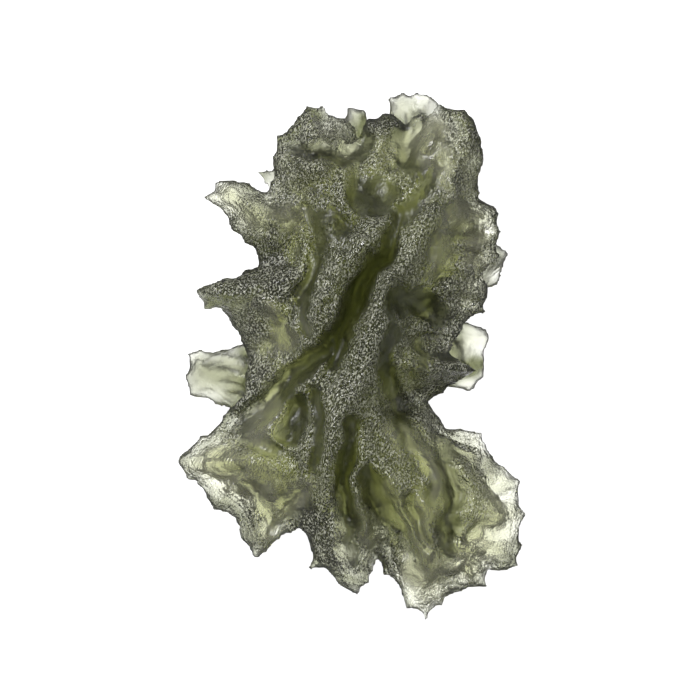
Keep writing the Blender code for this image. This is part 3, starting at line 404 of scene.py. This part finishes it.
def wander(x, y, reach):
    """The same places pushed about by sums of sines, so that nothing cut along a line stays
    straight."""
    u = x + reach * (np.sin(1.3 * y + 0.7 * x) + 0.5 * np.sin(3.1 * y - 1.7 * x + 2.0))
    v = y + reach * (np.sin(1.1 * x - 0.6 * y + 1.0) + 0.5 * np.sin(2.9 * x + 2.2 * y))
    return u, v


def relief(x, y, strokes):
    """Highest of the strokes at each place. Across a stroke the height falls off as a bell."""
    height = np.zeros(x.shape)
    for half_width, path in strokes:
        for (ax, ay, ah), (bx, by, bh) in zip(path, path[1:]):
            away, t = along(x, y, ax, ay, bx, by)
            height = np.maximum(height, (ah + t * (bh - ah)) * np.exp(-((away / half_width) ** 2)))
    return height


def flutes(seed):
    """Short grooves all over a face. They run along the stone near its axis and fan outward away
    from it, each in its own place of a jittered grid."""
    chance = np.random.default_rng(seed)
    (ax, ay), (bx, by) = AXIS
    strokes = []
    for x in np.arange(-FLUTE_ROOM[0], FLUTE_ROOM[0], FLUTE_SPACING[0]):
        for y in np.arange(-FLUTE_ROOM[1], FLUTE_ROOM[1], FLUTE_SPACING[1]):
            px = x + chance.uniform(0, FLUTE_SPACING[0])
            py = y + chance.uniform(0, FLUTE_SPACING[1])
            away, t = along(px, py, ax, ay, bx, by)
            out = np.array([px - ax - t * (bx - ax), py - ay - t * (by - ay)]) / (away + 1e-6)
            line = np.array([ax - bx, ay - by]) / np.hypot(ax - bx, ay - by)
            line *= 1 if out @ line >= 0 else -1
            turn = min(away / FAN_FROM, 1.0)
            run = line * (1 - turn) + out * turn + chance.normal(0, FLUTE_STRAY, 2)
            run *= FLUTE_LENGTH * chance.uniform(*FLUTE_HALF) / np.hypot(*run)
            deep = FLUTE_DEPTH * chance.uniform(*FLUTE_DEEP)
            first = (px - run[0], py - run[1], 0.5 * deep)
            last = (px + run[0], py + run[1], 0.5 * deep)
            strokes.append((chance.uniform(*FLUTE_WIDTH), [first, (px, py, deep), last]))
    return strokes


def swell(depth, amount):
    """Half thickness of a leaf at this distance in from its rim: the distance to a power below 1,
    so quick at first and then slower, and a straight slope on outside the rim."""
    start = RIM_BLUNT**SWELL_POWER
    inner = (np.maximum(depth, 0) + RIM_BLUNT) ** SWELL_POWER - start
    outer = SWELL_POWER * RIM_BLUNT ** (SWELL_POWER - 1) * np.minimum(depth, 0)
    return amount * (inner + outer)


def curl(x, y, turn):
    """Waves round the rim: sines of the turn round the stone, times the square of how far out a
    place is, which is 0 in the middle and about 1 at the rim."""
    angle = np.arctan2(y / LONG, x)
    outward = np.clip((x / CURL_OUT[0]) ** 2 + (y / CURL_OUT[1]) ** 2, 0, CURL_MOST)
    waves = [high * np.sin(many * angle + share * turn) for high, many, share in CURLS]
    return outward * sum(waves)


def cut(face, ribs, grooves, thick):
    """A face plus its ribs and less its grooves, which never reach through the last of its leaf."""
    return np.maximum(face + ribs - grooves, face - (1 - LEAST_LEFT) * thick)


def sheets(x, y):
    """Distances in from the two rims, and heights of the four faces: front leaf top and bottom,
    back leaf top and bottom. A face is a curled plane with the leaf's swell above or below it."""
    bites = BITE_DEPTH * (scoops(x, y, 0 * x, BITE_SPACING, 5.0) - BITE_MEAN)
    front_in = inside(x, y, FRONT_RIM) - bites
    back_in = inside(x, y, BACK_RIM) - bites
    front = FRONT_HEIGHT + FRONT_LIFT * curl(x, y, FRONT_CURL)
    back = np.minimum(BACK_HEIGHT + BACK_LIFT * curl(x, y, BACK_CURL), front - LEAF_GAP)
    cx, cy, half_width, half_length, extra = CORE
    core = extra * np.exp(-(((x - cx) / half_width) ** 2) - ((y - cy) / half_length) ** 2)
    front_deep = np.clip(front_in / RIM_FADE, 0, 1)
    back_deep = np.clip(back_in / RIM_FADE, 0, 1)
    front_half = swell(front_in, FRONT_SWELL)
    back_half = swell(back_in, BACK_SWELL)
    u, v = wander(x, y, WANDER)
    near_rim = RIM_SHARE + (1 - RIM_SHARE) * front_deep
    pale = np.clip(relief(u, v, THIN_AND_LIT), 0, 1)
    calm = 1 - CALM * pale
    grooves = np.maximum(relief(u, v, FRONT_GROOVES), relief(u, v, flutes(1)) * calm)
    ribs = relief(u, v, FRONT_RIBS) * near_rim
    thick = np.maximum((1 + FRONT_UNDER) * front_half, 0)
    front_top = cut(front + front_half + core * front_deep, ribs, grooves * near_rim, thick)
    grooves = FRONT_INNER * relief(u, v, flutes(2)) * front_deep * calm
    front_bottom = front - (FRONT_UNDER - PALE_THINNER * pale) * front_half + grooves
    grooves = BACK_INNER * relief(u, v, flutes(3)) * back_deep * calm
    back_top = back + (1 - PALE_THINNER * pale) * back_half - grooves
    p, q = -u / BACK_TURN, -v / BACK_TURN
    grooves = np.maximum(UNDER_RELIEF * relief(p, q, FRONT_GROOVES), relief(u, v, flutes(4)))
    grooves = grooves * back_deep * calm
    ribs = UNDER_RELIEF * relief(p, q, FRONT_RIBS) * back_deep * calm
    thick = np.maximum((1 + BACK_UNDER) * back_half, 0)
    under = (BACK_UNDER - PALE_UNDER * pale) * back_half
    back_bottom = -cut(under - back, ribs, grooves, thick)
    return front_in, back_in, front_top, front_bottom, back_top, back_bottom


def spine_field(x, y, z):
    """Distance from the nearest spine. Each is a cone with a rounded tip."""
    field = np.full(x.shape, 9.0)
    for root, tip, radius in SPINES:
        run = np.subtract(tip, root)
        away = [x - root[0], y - root[1], z - root[2]]
        t = np.clip(sum(a * r for a, r in zip(away, run)) / (run @ run), 0, 1)
        off = np.sqrt(sum((a - t * r) ** 2 for a, r in zip(away, run)))
        field = np.minimum(field, off - radius * (1 - t) ** SPINE_TAPER - SPINE_TIP)
    return field


def scoops(x, y, z, spacing, seed):
    """Etched hollows: one centre at a random place in each box of a grid, 1 at a centre and falling
    as a parabola to 0 most of a box away, so that neighbours meet in sharp crests. The random place
    is the part after the point of a large multiple of a sine, so it is the same in every run."""
    place = [x / spacing[0], y / spacing[1], z / spacing[2]]
    box = [np.floor(p) for p in place]
    nearest = np.full(x.shape, 9.0)
    for step in np.ndindex(3, 3, 3):
        home = [b + s - 1 for b, s in zip(box, step)]
        away = 0
        for axis in range(3):
            mix = 127.1 * home[0] + 311.7 * home[1] + 74.7 * home[2] + 53.3 * axis + seed
            jitter = np.sin(mix) * 43758.5453 % 1
            away = away + (home[axis] + jitter - place[axis]) ** 2
        nearest = np.minimum(nearest, away)
    return np.maximum(1 - nearest / SCOOP_SPAN, 0)


def blend(a, b):
    """Two bodies joined: the lesser field, less a parabola where the two are nearly the same, which
    is a small fillet."""
    near = np.clip(BLEND - abs(a - b), 0, None)
    return np.minimum(a, b) - near**2 / (4 * BLEND)


def stone_field(xs, ys, zs):
    """Rough distance from the stone's skin, negative inside it: for each leaf, the height over its
    faces divided by their steepness, then joined, with the spines, and with the hollows added."""
    x, y = np.meshgrid(xs, ys, indexing="ij")
    front_in, back_in, front_top, front_bottom, back_top, back_bottom = sheets(x, y)

    def side(height, sign):
        slope = np.hypot(*np.gradient(height, xs, ys))
        return sign * (zs - height[..., None]) / np.sqrt(1 + slope**2)[..., None]

    front = np.maximum(side(front_top, 1), side(front_bottom, -1))
    back = np.maximum(side(back_top, 1), side(back_bottom, -1))
    field = blend(front, back)
    grown = np.clip(np.maximum(front_in, back_in), SCOOP_RIM, 1)[..., None]
    wide = [np.broadcast_to(a, field.shape) for a in (x[..., None], y[..., None], zs)]
    field = blend(field, spine_field(*wide))
    close = abs(field) < SCOOP_WITHIN
    near = [a[close] for a in wide]
    hollow = SCOOP_DEPTH * scoops(*near, SCOOP_SPACING, 0.0)
    hollow += SMALL_DEPTH * scoops(*near, SMALL_SPACING, 9.0)
    field[close] += hollow * np.broadcast_to(grown, field.shape)[close]
    return np.maximum(field, -zs)


def tidy_cells(field):
    """Fills the few grid cells in which the skin would touch itself, so that it is one sheet: in a
    cell whose filled or empty corners aren't all joined along its edges, the empty corner nearest
    the skin is filled, until no such cell is left."""
    corners = list(np.ndindex(2, 2, 2))

    def in_one_piece(group):
        """Whether these corners hang together along the cell's edges."""
        reached = set(group[:1])
        for _ in range(8):
            reached |= {
                c for c in group for r in reached if sum(abs(a - b) for a, b in zip(c, r)) == 1
            }
        return len(reached) == len(group)

    def crossed(filled):
        """Whether a side of the cell is filled at two opposite corners alone."""
        for axis in range(3):
            for level in (0, 1):
                face = {c: c in filled for c in corners if c[axis] == level}
                low, high = face.keys() - filled, set(face) & filled
                if len(low) == 2 and len(high) == 2 and not in_one_piece(sorted(high)):
                    return True
        return False

    awkward = np.zeros(256, bool)
    for code in range(256):
        filled = {c for n, c in enumerate(corners) if code >> n & 1}
        empty = set(corners) - filled
        apart = not in_one_piece(sorted(filled)) or not in_one_piece(sorted(empty))
        awkward[code] = apart or crossed(filled)
    size = [n - 1 for n in field.shape]
    windows = [tuple(slice(o, o + n) for o, n in zip(c, size)) for c in corners]
    while True:
        code = sum((field[w] < 0).astype(int) << n for n, w in enumerate(windows))
        cells = np.argwhere(awkward[code])
        if not len(cells):
            return field
        places = cells[:, None] + np.array(corners)
        values = field[tuple(np.moveaxis(places, 2, 0))]
        least = np.where(values < 0, 9.0, values).argmin(axis=1)
        field[tuple(places[np.arange(len(cells)), least].T)] = -0.01


def skin(field, start, step):
    """Surface nets: a point in each grid cell that the skin crosses, at the mean of its crossings
    with the cell's edges, and a quad round each grid edge that the skin crosses."""
    size = tuple(n - 1 for n in field.shape)
    total = np.zeros(size + (3,))
    count = np.zeros(size)
    for axis in range(3):
        for side in np.ndindex(2, 2):
            corner = list(side)
            corner.insert(axis, 0)
            low = field[tuple(slice(c, c + n) for c, n in zip(corner, size))]
            corner[axis] = 1
            high = field[tuple(slice(c, c + n) for c, n in zip(corner, size))]
            crossed = (low < 0) != (high < 0)
            corner[axis] = 0
            place = np.broadcast_to(np.array(corner, float), size + (3,)).copy()
            place[..., axis] += low / np.where(crossed, low - high, 1)
            total += np.where(crossed[..., None], place, 0)
            count += crossed
    live = count > 0
    number = np.full(size, -1)
    number[live] = np.arange(live.sum())
    points = (np.argwhere(live) + total[live] / count[live][:, None]) * step + start
    quads = []
    for axis in range(3):
        low = np.moveaxis(field, axis, 0)[:-1] < 0
        high = np.moveaxis(field, axis, 0)[1:] < 0
        grid = np.moveaxis(number, axis, 0)
        a, b, c = np.nonzero((low != high)[:, 1:-1, 1:-1])
        ring = [grid[a, b, c], grid[a, b + 1, c], grid[a, b + 1, c + 1], grid[a, b, c + 1]]
        ring = np.stack(ring, 1)
        outward = low[:, 1:-1, 1:-1][a, b, c]
        if axis == 1:
            outward = ~outward
        quads.append(np.where(outward[:, None], ring, ring[:, ::-1]))
    return points, np.concatenate(quads)


def largest_body(points, quads):
    """Drops loose crumbs and closed bubbles: keeps the connected skin that has the most points."""
    label = np.arange(len(points))
    while True:
        low = label[quads].min(axis=1)
        fresh = label.copy()
        for corner in range(4):
            np.minimum.at(fresh, quads[:, corner], low)
        fresh = fresh[fresh]
        if (fresh == label).all():
            break
        label = fresh
    keep = label == np.bincount(label).argmax()
    number = np.cumsum(keep) - 1
    return points[keep], number[quads[keep[quads[:, 0]]]]


def crest_field(field, step, reach):
    """How far a place stands out: the field averaged over a box of this reach, less the field
    itself. It is above 0 on crests and rims, and below 0 in grooves."""
    mean = field
    half = int(round(reach / step))
    wide = 2 * half + 1
    for axis in range(3):
        padded = np.moveaxis(mean, axis, 0)
        padded = np.concatenate([padded[:1]] * (half + 1) + [padded] + [padded[-1:]] * half)
        total = np.cumsum(padded, axis=0)
        mean = np.moveaxis((total[wide:] - total[:-wide]) / wide, 0, axis)
    return mean - field


def at_points(grid, points, start, step):
    """Values of a 3-D grid at points between its corners: the mean of the eight corners round each
    point, weighted by how near they are."""
    place = (points - start) / step
    base = np.clip(np.floor(place).astype(int), 0, np.array(grid.shape) - 2)
    part = place - base
    value = 0
    for corner in np.ndindex(2, 2, 2):
        weight = np.prod(np.where(corner, part, 1 - part), axis=1)
        value = value + weight * grid[tuple((base + corner).T)]
    return value


def frost_left(points, stands_out):
    """How frosted the skin is at each point, from 0 to 1: most on the crests, less on their flanks,
    least in the smooth grooves and hollows, and little on the thin blades of the back leaf."""
    x, y, z = points.T
    u, v = wander(x, y, WANDER)
    upper = relief(u, v, SMOOTH) + GROOVE_SMOOTH * relief(u, v, FRONT_GROOVES)
    p, q = -u / BACK_TURN, -v / BACK_TURN
    under = relief(p, q, SMOOTH) + GROOVE_SMOOTH * relief(p, q, FRONT_GROOVES)
    front_in, _, front_top, front_bottom, _, _ = sheets(x, y)
    level = (front_top + front_bottom) / 2
    on_front = np.clip(front_in / BLADE_EDGE, 0, 1)
    smooth = np.where(z > level, upper, under)
    left = FLAT_FROST + CREST_FROST * stands_out - SMOOTH_BARE * smooth
    left = np.clip(left, LEAST_FROST, 1)
    return left * (BLADE_FROST + (1 - BLADE_FROST) * on_front)


def rim_distance(points):
    """Millimetres in from the rim of the leaf that shows from above."""
    u, v = wander(points[:, 0], points[:, 1], WRINKLE_WANDER)
    front_in = inside(u, v, FRONT_RIM)
    return np.where(front_in > 0, front_in, inside(u, v, BACK_RIM))


def tint_with_painted_shade(points):
    """How deep the skin's tint is at each point, from 0 (pale) to 1 (deep), as painted shade and
    painted light: the strokes, plus a band of painted shade inside the front rim that rises and
    falls straight, less a share on the back blades."""
    u, v = wander(points[:, 0], points[:, 1], COLOUR_WANDER)
    front_in = inside(u, v, FRONT_RIM)
    blade = np.clip(-front_in / COLOUR_BLADE_OUT, 0, 1)
    # A band of painted shade inside the front rim.
    band = np.clip(1 - abs(front_in - RIM_SHADE_IN) / RIM_SHADE_HALF, 0, 1)
    # Strokes of painted shade deepen the tint; the thin, lit strokes pale it, which is painted
    # light.
    deep = COLOUR_MOST + RIM_SHADE * band + SHADE_AND_LIGHT_STROKE * relief(u, v, SHADE_STROKES)
    deep = deep - SHADE_AND_LIGHT_STROKE * relief(u, v, THIN_AND_LIT) - COLOUR_BLADE * blade
    return np.clip(deep, RIM_SHADE_LEAST * band, 1)


def stone_skin():
    """The whole stone: its points in metres, its faces, and for each point the frost, the depth of
    its tint, which is painted shade and painted light, and the distance in from the rim."""
    margin = GRID_MARGIN * GRID_STEP
    xs = np.arange(-HALF_ROOM[0] - margin, HALF_ROOM[0] + margin, GRID_STEP)
    ys = np.arange(-HALF_ROOM[1] - margin, HALF_ROOM[1] + margin, GRID_STEP)
    zs = np.arange(-GRID_MARGIN, 2 * HALF_ROOM[2] / GRID_STEP) * GRID_STEP
    field = tidy_cells(stone_field(xs, ys, zs))
    start = np.array([xs[0], ys[0], zs[0]])
    points, quads = largest_body(*skin(field, start, GRID_STEP))
    stands_out = at_points(crest_field(field, GRID_STEP, CREST_REACH), points, start, GRID_STEP)
    frost = frost_left(points, stands_out)
    deep, rim = tint_with_painted_shade(points), rim_distance(points)
    points[:, :2] -= (points.min(axis=0) + points.max(axis=0))[:2] / 2
    points[points[:, 2] < FLAT_WITHIN, 2] = 0
    return points * MM, quads, frost, deep, rim


points, quads, frost, deep, rim = stone_skin()
mesh = bpy.data.meshes.new("moldavite_stone")
mesh.from_pydata(points.tolist(), [], quads.tolist())
# The 'deep' attribute carries the tint's painted shade and painted light.
for name, values in (("frost", frost), ("deep", deep), ("rim", rim)):
    mesh.attributes.new(name, "FLOAT", "POINT").data.foreach_set("value", values)
mesh.polygons.foreach_set("use_smooth", np.ones(len(quads), bool))
stone = bpy.data.objects.new("moldavite_stone", mesh)
bpy.context.scene.collection.objects.link(stone)
if 2 * len(quads) > MOST_TRIANGLES:
    fewer = stone.modifiers.new("fewer faces", "DECIMATE")
    fewer.ratio = MOST_TRIANGLES / (2 * len(quads))


class Wire:
    """One output of a shader's nodes, or none yet. Sums written with it add the nodes that work
    them out."""

    def __init__(self, tree, socket=None):
        self.tree, self.socket = tree, socket

    def node(self, kind, settings=None, values=None, out=0):
        """Adds a node of this kind: its settings first, then a value or a link for each named
        socket. The answer is its output of this name or number."""
        made = self.tree.nodes.new(kind)
        for name, value in (settings or {}).items():
            setattr(made, name, value)
        for name, value in (values or {}).items():
            if isinstance(value, Wire):
                self.tree.links.new(value.socket, made.inputs[name])
            else:
                made.inputs[name].default_value = value
        return Wire(self.tree, made.outputs[out])

    def feeds(self, node, name):
        """Links this output to a named socket of a node that is already there."""
        self.tree.links.new(self.socket, node.inputs[name])

    def maths(self, operation, first, second):
        """One step of arithmetic on two values."""
        return self.node("ShaderNodeMath", {"operation": operation}, {0: first, 1: second})

    def __add__(self, other):
        return self.maths("ADD", self, other)

    def __sub__(self, other):
        return self.maths("SUBTRACT", self, other)

    def __rsub__(self, other):
        return self.maths("SUBTRACT", other, self)

    def __mul__(self, other):
        return self.maths("MULTIPLY", self, other)

    __radd__ = __add__
    __rmul__ = __mul__

    def between(self, low, high):
        """0 below low, 1 above high, a smooth step between them."""
        settings = {"interpolation_type": "SMOOTHSTEP"}
        return self.node("ShaderNodeMapRange", settings, {0: self, 1: low, 2: high})

    def mix(self, first, second):
        """The first colour where this is 0, the second where it is 1, mixed between."""
        settings = {"data_type": "RGBA"}
        return self.node("ShaderNodeMix", settings, {0: self, 6: first, 7: second}, out=2)


def new_material(name):
    """A material, a wire to start its nodes from, its own shader and its output."""
    material = bpy.data.materials.new(name)
    material.use_nodes = True
    nodes = material.node_tree.nodes
    return material, Wire(material.node_tree), nodes["Principled BSDF"], nodes["Material Output"]


GLASS_IOR = 1.49
GLASS_COLOUR = (0.51, 0.53, 0.21, 1)  # a metre takes up one less this, times the density
GLASS_DENSITY = 600.0
CLEAR_SKIN = (1.0, 1.0, 1.0, 1)
SHADED_SKIN = (0.155, 0.168, 0.088, 1)  # olive tint of the skin at its deepest, which is painted shade
SPECK_PALE = (0.85, 0.86, 0.69, 1)  # the pale specks of the frosting
WINDOW_PALE = (0.81, 0.81, 0.59, 1)  # the milky haze on the thin windows
SPECK_ROUGH = 0.5
WINDOW_DEEP = 0.4  # glass paler than this is a window

# Patterns in the skin. Their scales are for metres.
PATCHES = {"Scale": 1000.0, "Detail": 3.0}  # patches in which the frost is worn
GRAINS = {"Scale": 4600.0, "Detail": 2.0}
SPECKS = {"Scale": 9500.0, "Detail": 1.0}
DRIFT = {"Scale": 380.0, "Detail": 1.0}  # sways the wrinkles
PITS = {"Scale": 6400.0}
PIT_TURN = (0.0, 0.0, -0.4)  # pits, grains and specks lie a little aslant
PIT_STRETCH = (1.0, 1.6, 1.0)  # and are longer along the stone

PATCH_SHARE = 1.2  # how much the patches add to the frost
PATCH_LEVEL = 0.63  # and what is taken off for them
FROST_STEP = (-0.1, 0.95)  # what comes out below the first is bare, and above the second is frosted
WINDOW_BARE = 0.6  # share of the frost that windows lack
WRINKLE_TURN = 17.0  # turn of the wrinkles' sine for each millimetre in from the rim
WRINKLE_SWAY = 16.0  # what the drift adds to that turn
GRAIN_SHARE = 0.5  # height of the grains beside that of the pits
BARE_PITS = 0.04  # height of pits and grains on bare skin
BARE_WRINKLES = 0.03  # height of wrinkles on bare skin
FROST_WRINKLES = 0.10  # what frost adds to it
BUMP_HEIGHT = 0.00008  # metres
BARE_ROUGH = 0.44
FROST_SMOOTHER = 0.28  # frosted skin glints in its pits, so it is less rough than bare skin
WINDOW_SMOOTHER = 0.3
SPECK_STEP = (0.50, 0.62)  # the noise is a speck above the second, and none below the first
SPECK_HAZE = 0.48  # how much of the light the specks scatter
FROST_HAZE = 0.02  # the same for the frost between them
LEAST_HAZE = 0.01
WINDOW_HAZE = 0.14


def moldavite_glass():
    """Glass coloured in its depth: olive where it is thick, nearly clear in the thin blades. Its
    skin is tinted deeper where the stone looks dark and paler where light comes through, which is
    painted shade and painted light. The etched skin scatters light, and where it is frosted it is
    pitted and has pale grains."""
    material, start, shader, output = new_material("moldavite_glass")
    place = start.node("ShaderNodeTexCoord", out="Object")
    left = start.node("ShaderNodeAttribute", {"attribute_name": "frost"}, out="Fac")
    patches = start.node("ShaderNodeTexNoise", values={"Vector": place, **PATCHES})
    deep = start.node("ShaderNodeAttribute", {"attribute_name": "deep"}, out="Fac")
    clear = 1.0 - deep.between(0.0, WINDOW_DEEP)
    worn = (left + patches * PATCH_SHARE - PATCH_LEVEL).between(*FROST_STEP)
    frost = worn * (1.0 - clear * WINDOW_BARE)
    turn = {"Vector": place, "Rotation": PIT_TURN, "Scale": PIT_STRETCH}
    aslant = start.node("ShaderNodeMapping", {"vector_type": "TEXTURE"}, turn)
    pits = start.node("ShaderNodeTexVoronoi", {"feature": "F1"}, {"Vector": aslant, **PITS})
    grain = start.node("ShaderNodeTexNoise", values={"Vector": aslant, **GRAINS})
    rim = start.node("ShaderNodeAttribute", {"attribute_name": "rim"}, out="Fac")
    drift = start.node("ShaderNodeTexNoise", values={"Vector": place, **DRIFT})
    wrinkles = start.maths("SINE", rim * WRINKLE_TURN + drift * WRINKLE_SWAY, 0.0)
    etched = (pits * pits + grain * GRAIN_SHARE) * (BARE_PITS + frost * (1.0 - BARE_PITS))
    height = etched + wrinkles * (BARE_WRINKLES + frost * FROST_WRINKLES)
    raised = {"Height": height, "Distance": BUMP_HEIGHT, "Strength": 1.0}
    bump = start.node("ShaderNodeBump", values=raised)
    bump.feeds(shader, "Normal")
    rough = (BARE_ROUGH - frost * FROST_SMOOTHER) * (1.0 - clear * WINDOW_SMOOTHER)
    rough.feeds(shader, "Roughness")
    # The skin's tint: deeper where the stone looks dark, paler where light comes through; painted
    # shade and painted light.
    deep.mix(CLEAR_SKIN, SHADED_SKIN).feeds(shader, "Base Color")
    shader.inputs["IOR"].default_value = GLASS_IOR
    shader.inputs["Transmission Weight"].default_value = 1.0
    milk = clear.mix(SPECK_PALE, WINDOW_PALE)
    finish = {"Base Color": milk, "Roughness": SPECK_ROUGH, "Normal": bump}
    pale = start.node("ShaderNodeBsdfPrincipled", values=finish)
    specks = start.node("ShaderNodeTexNoise", values={"Vector": aslant, **SPECKS})
    speckled = specks.between(*SPECK_STEP) * SPECK_HAZE + FROST_HAZE
    haze = frost * frost * speckled + LEAST_HAZE + clear * WINDOW_HAZE
    glass = Wire(start.tree, shader.outputs[0])
    start.node("ShaderNodeMixShader", values={0: haze, 1: glass, 2: pale}).feeds(output, "Surface")
    depth = {"Color": GLASS_COLOUR, "Density": GLASS_DENSITY}
    start.node("ShaderNodeVolumeAbsorption", values=depth).feeds(output, "Volume")
    return material


stone.data.materials.append(moldavite_glass())
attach(stone, "root")
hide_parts("moldavite")

# -------------------------------------------------------------------------------------------------
# What the stone lies on: a wide pale floor that lets light through. The light that comes up through
# the stone is from a lit board well below it, so where the stone bends it far aside it looks dark.
# -------------------------------------------------------------------------------------------------

FLOOR_RADIUS = 0.9
FLOOR_LEVEL = -0.00005
BOARD_RADIUS = 0.5
BOARD_LEVEL = -0.30
BOARD_SIDES = 96
BOARD_RINGS = (0.02, 1, 6)  # first and last ring, as shares of the radius, and how many
FLOOR_GREY = 0.6
FLOOR_GLOW = 0.95
POOL = (0.14, 0.28)  # the board is fully lit out to the first, and only dimly from the second on
LIT = 2.0  # brightness within the pool
DIM = 0.1


def round_board(name, radius, level):
    """A flat disc: x and y are the radius times the cosine and sine of the turn, on rings out from
    the middle."""
    turns = np.linspace(0, 2 * np.pi, BOARD_SIDES + 1)[:-1]
    turn, reach = np.meshgrid(turns, np.linspace(*BOARD_RINGS) * radius)
    points = np.stack([reach * np.cos(turn), reach * np.sin(turn), np.full(turn.shape, level)], -1)
    number = np.arange(turn.size).reshape(turn.shape)
    beside = np.roll(number, -1, axis=1)
    quads = np.stack([number[:-1], number[1:], beside[1:], beside[:-1]], -1).reshape(-1, 4)
    mesh = bpy.data.meshes.new(name)
    mesh.from_pydata(points.reshape(-1, 3).tolist(), [], quads.tolist() + [number[0].tolist()])
    board = bpy.data.objects.new(name, mesh)
    bpy.context.scene.collection.objects.link(board)
    return board


def matt(shader, grey):
    """Makes a shader plain matt grey, with white light of its own."""
    shader.inputs["Base Color"].default_value = (grey, grey, grey, 1)
    shader.inputs["Roughness"].default_value = 1.0
    shader.inputs["Specular IOR Level"].default_value = 0.0
    shader.inputs["Emission Color"].default_value = (1.0, 1.0, 1.0, 1)


def pale_floor():
    """Pale and lit for the eye, and clear for the light that comes up through the stone."""
    material, start, shader, output = new_material("pale_floor")
    matt(shader, FLOOR_GREY)
    shader.inputs["Emission Strength"].default_value = FLOOR_GLOW
    seen = start.node("ShaderNodeLightPath", out="Is Camera Ray")
    clear = start.node("ShaderNodeBsdfTransparent")
    sheet = Wire(start.tree, shader.outputs[0])
    start.node("ShaderNodeMixShader", values={0: seen, 1: clear, 2: sheet}).feeds(output, "Surface")
    return material


def lit_board():
    """A round pool of light: full near the middle, then fading to dim with the distance from it."""
    material, start, shader, _ = new_material("lit_board")
    place = start.node("ShaderNodeTexCoord", out="Object")
    flat = {0: place, 1: (1, 1, 0)}
    level = start.node("ShaderNodeVectorMath", {"operation": "MULTIPLY"}, flat)
    away = start.node("ShaderNodeVectorMath", {"operation": "LENGTH"}, {0: level}, out=1)
    light = (1.0 - away.between(*POOL)) * (LIT - DIM) + DIM
    light.feeds(shader, "Emission Strength")
    matt(shader, 0.0)
    return material


floor = round_board("pale_floor", FLOOR_RADIUS, FLOOR_LEVEL)
floor.data.materials.append(pale_floor())
board = round_board("lit_board", BOARD_RADIUS, BOARD_LEVEL)
board.data.materials.append(lit_board())

# -------------------------------------------------------------------------------------------------
# Lamps and room: two soft boxes above, small enough to glint in the etched pits, in a pale room
# with lit walls and a dim ceiling. To the eye the room is evenly pale.
# -------------------------------------------------------------------------------------------------


def soft_box(name, place, side, power):
    """A square lamp at place, facing the stone: metres for its place and side, watts for power."""
    light = bpy.data.lights.new(name, "AREA")
    light.size = side
    light.energy = power
    lamp = bpy.data.objects.new(name, light)
    lamp.location = place
    aim = -Vector(place)
    lamp.rotation_euler = aim.to_track_quat("-Z", "Y").to_euler()
    bpy.context.scene.collection.objects.link(lamp)


soft_box("key_soft_box", place=(-0.13, 0.13, 0.20), side=0.09, power=0.55)
soft_box("fill_soft_box", place=(0.16, -0.08, 0.20), side=0.14, power=0.15)

SEEN_ROOM = 0.9  # how bright the room is to the eye
WALLS = 0.70  # the walls, which stand all round at the stone's own level
CEILING = 0.05
WALL_TOP = (0.1, 0.5)  # sine of the angle above the stone, or below it, over which the walls fade
room = bpy.data.worlds.new("pale_room")
room.use_nodes = True
backdrop = room.node_tree.nodes["Background"]
backdrop.inputs["Color"].default_value = (1.0, 1.0, 1.0, 1)
start = Wire(room.node_tree)
seen = start.node("ShaderNodeLightPath", out="Is Camera Ray")
towards = start.node("ShaderNodeTexCoord", out="Generated")
height = start.node("ShaderNodeSeparateXYZ", values={0: towards}, out=2)
over = start.maths("ABSOLUTE", height, 0.0).between(*WALL_TOP)
unseen = (1.0 - over) * (WALLS - CEILING) + CEILING
light = seen * SEEN_ROOM + (1.0 - seen) * unseen
light.feeds(backdrop, "Strength")
bpy.context.scene.world = room
bpy.context.scene.view_settings.view_transform = "Standard"
bpy.context.scene.cycles.transmission_bounces = 24
bpy.context.scene.cycles.max_bounces = 32

# -------------------------------------------------------------------------------------------------
# Camera: straight above the stone, far enough away for a flat view.
# -------------------------------------------------------------------------------------------------

CAMERA_HEIGHT = 0.30
CAMERA_PLACE = (-0.00012, 0.00036)  # the stone stands a little right of the frame's middle and low
FRAME_WIDTH = 0.0463  # what the frame's side covers at the height of the rims
RIM_LEVEL = 0.0048
SENSOR = 36.0

view = bpy.data.cameras.new("camera")
view.sensor_width = SENSOR
view.lens = SENSOR * (CAMERA_HEIGHT - RIM_LEVEL) / FRAME_WIDTH
view.clip_start = 0.01
view.clip_end = 5.0
camera = bpy.data.objects.new("camera", view)
camera.location = (*CAMERA_PLACE, CAMERA_HEIGHT)
bpy.context.scene.collection.objects.link(camera)
bpy.context.scene.camera = camera
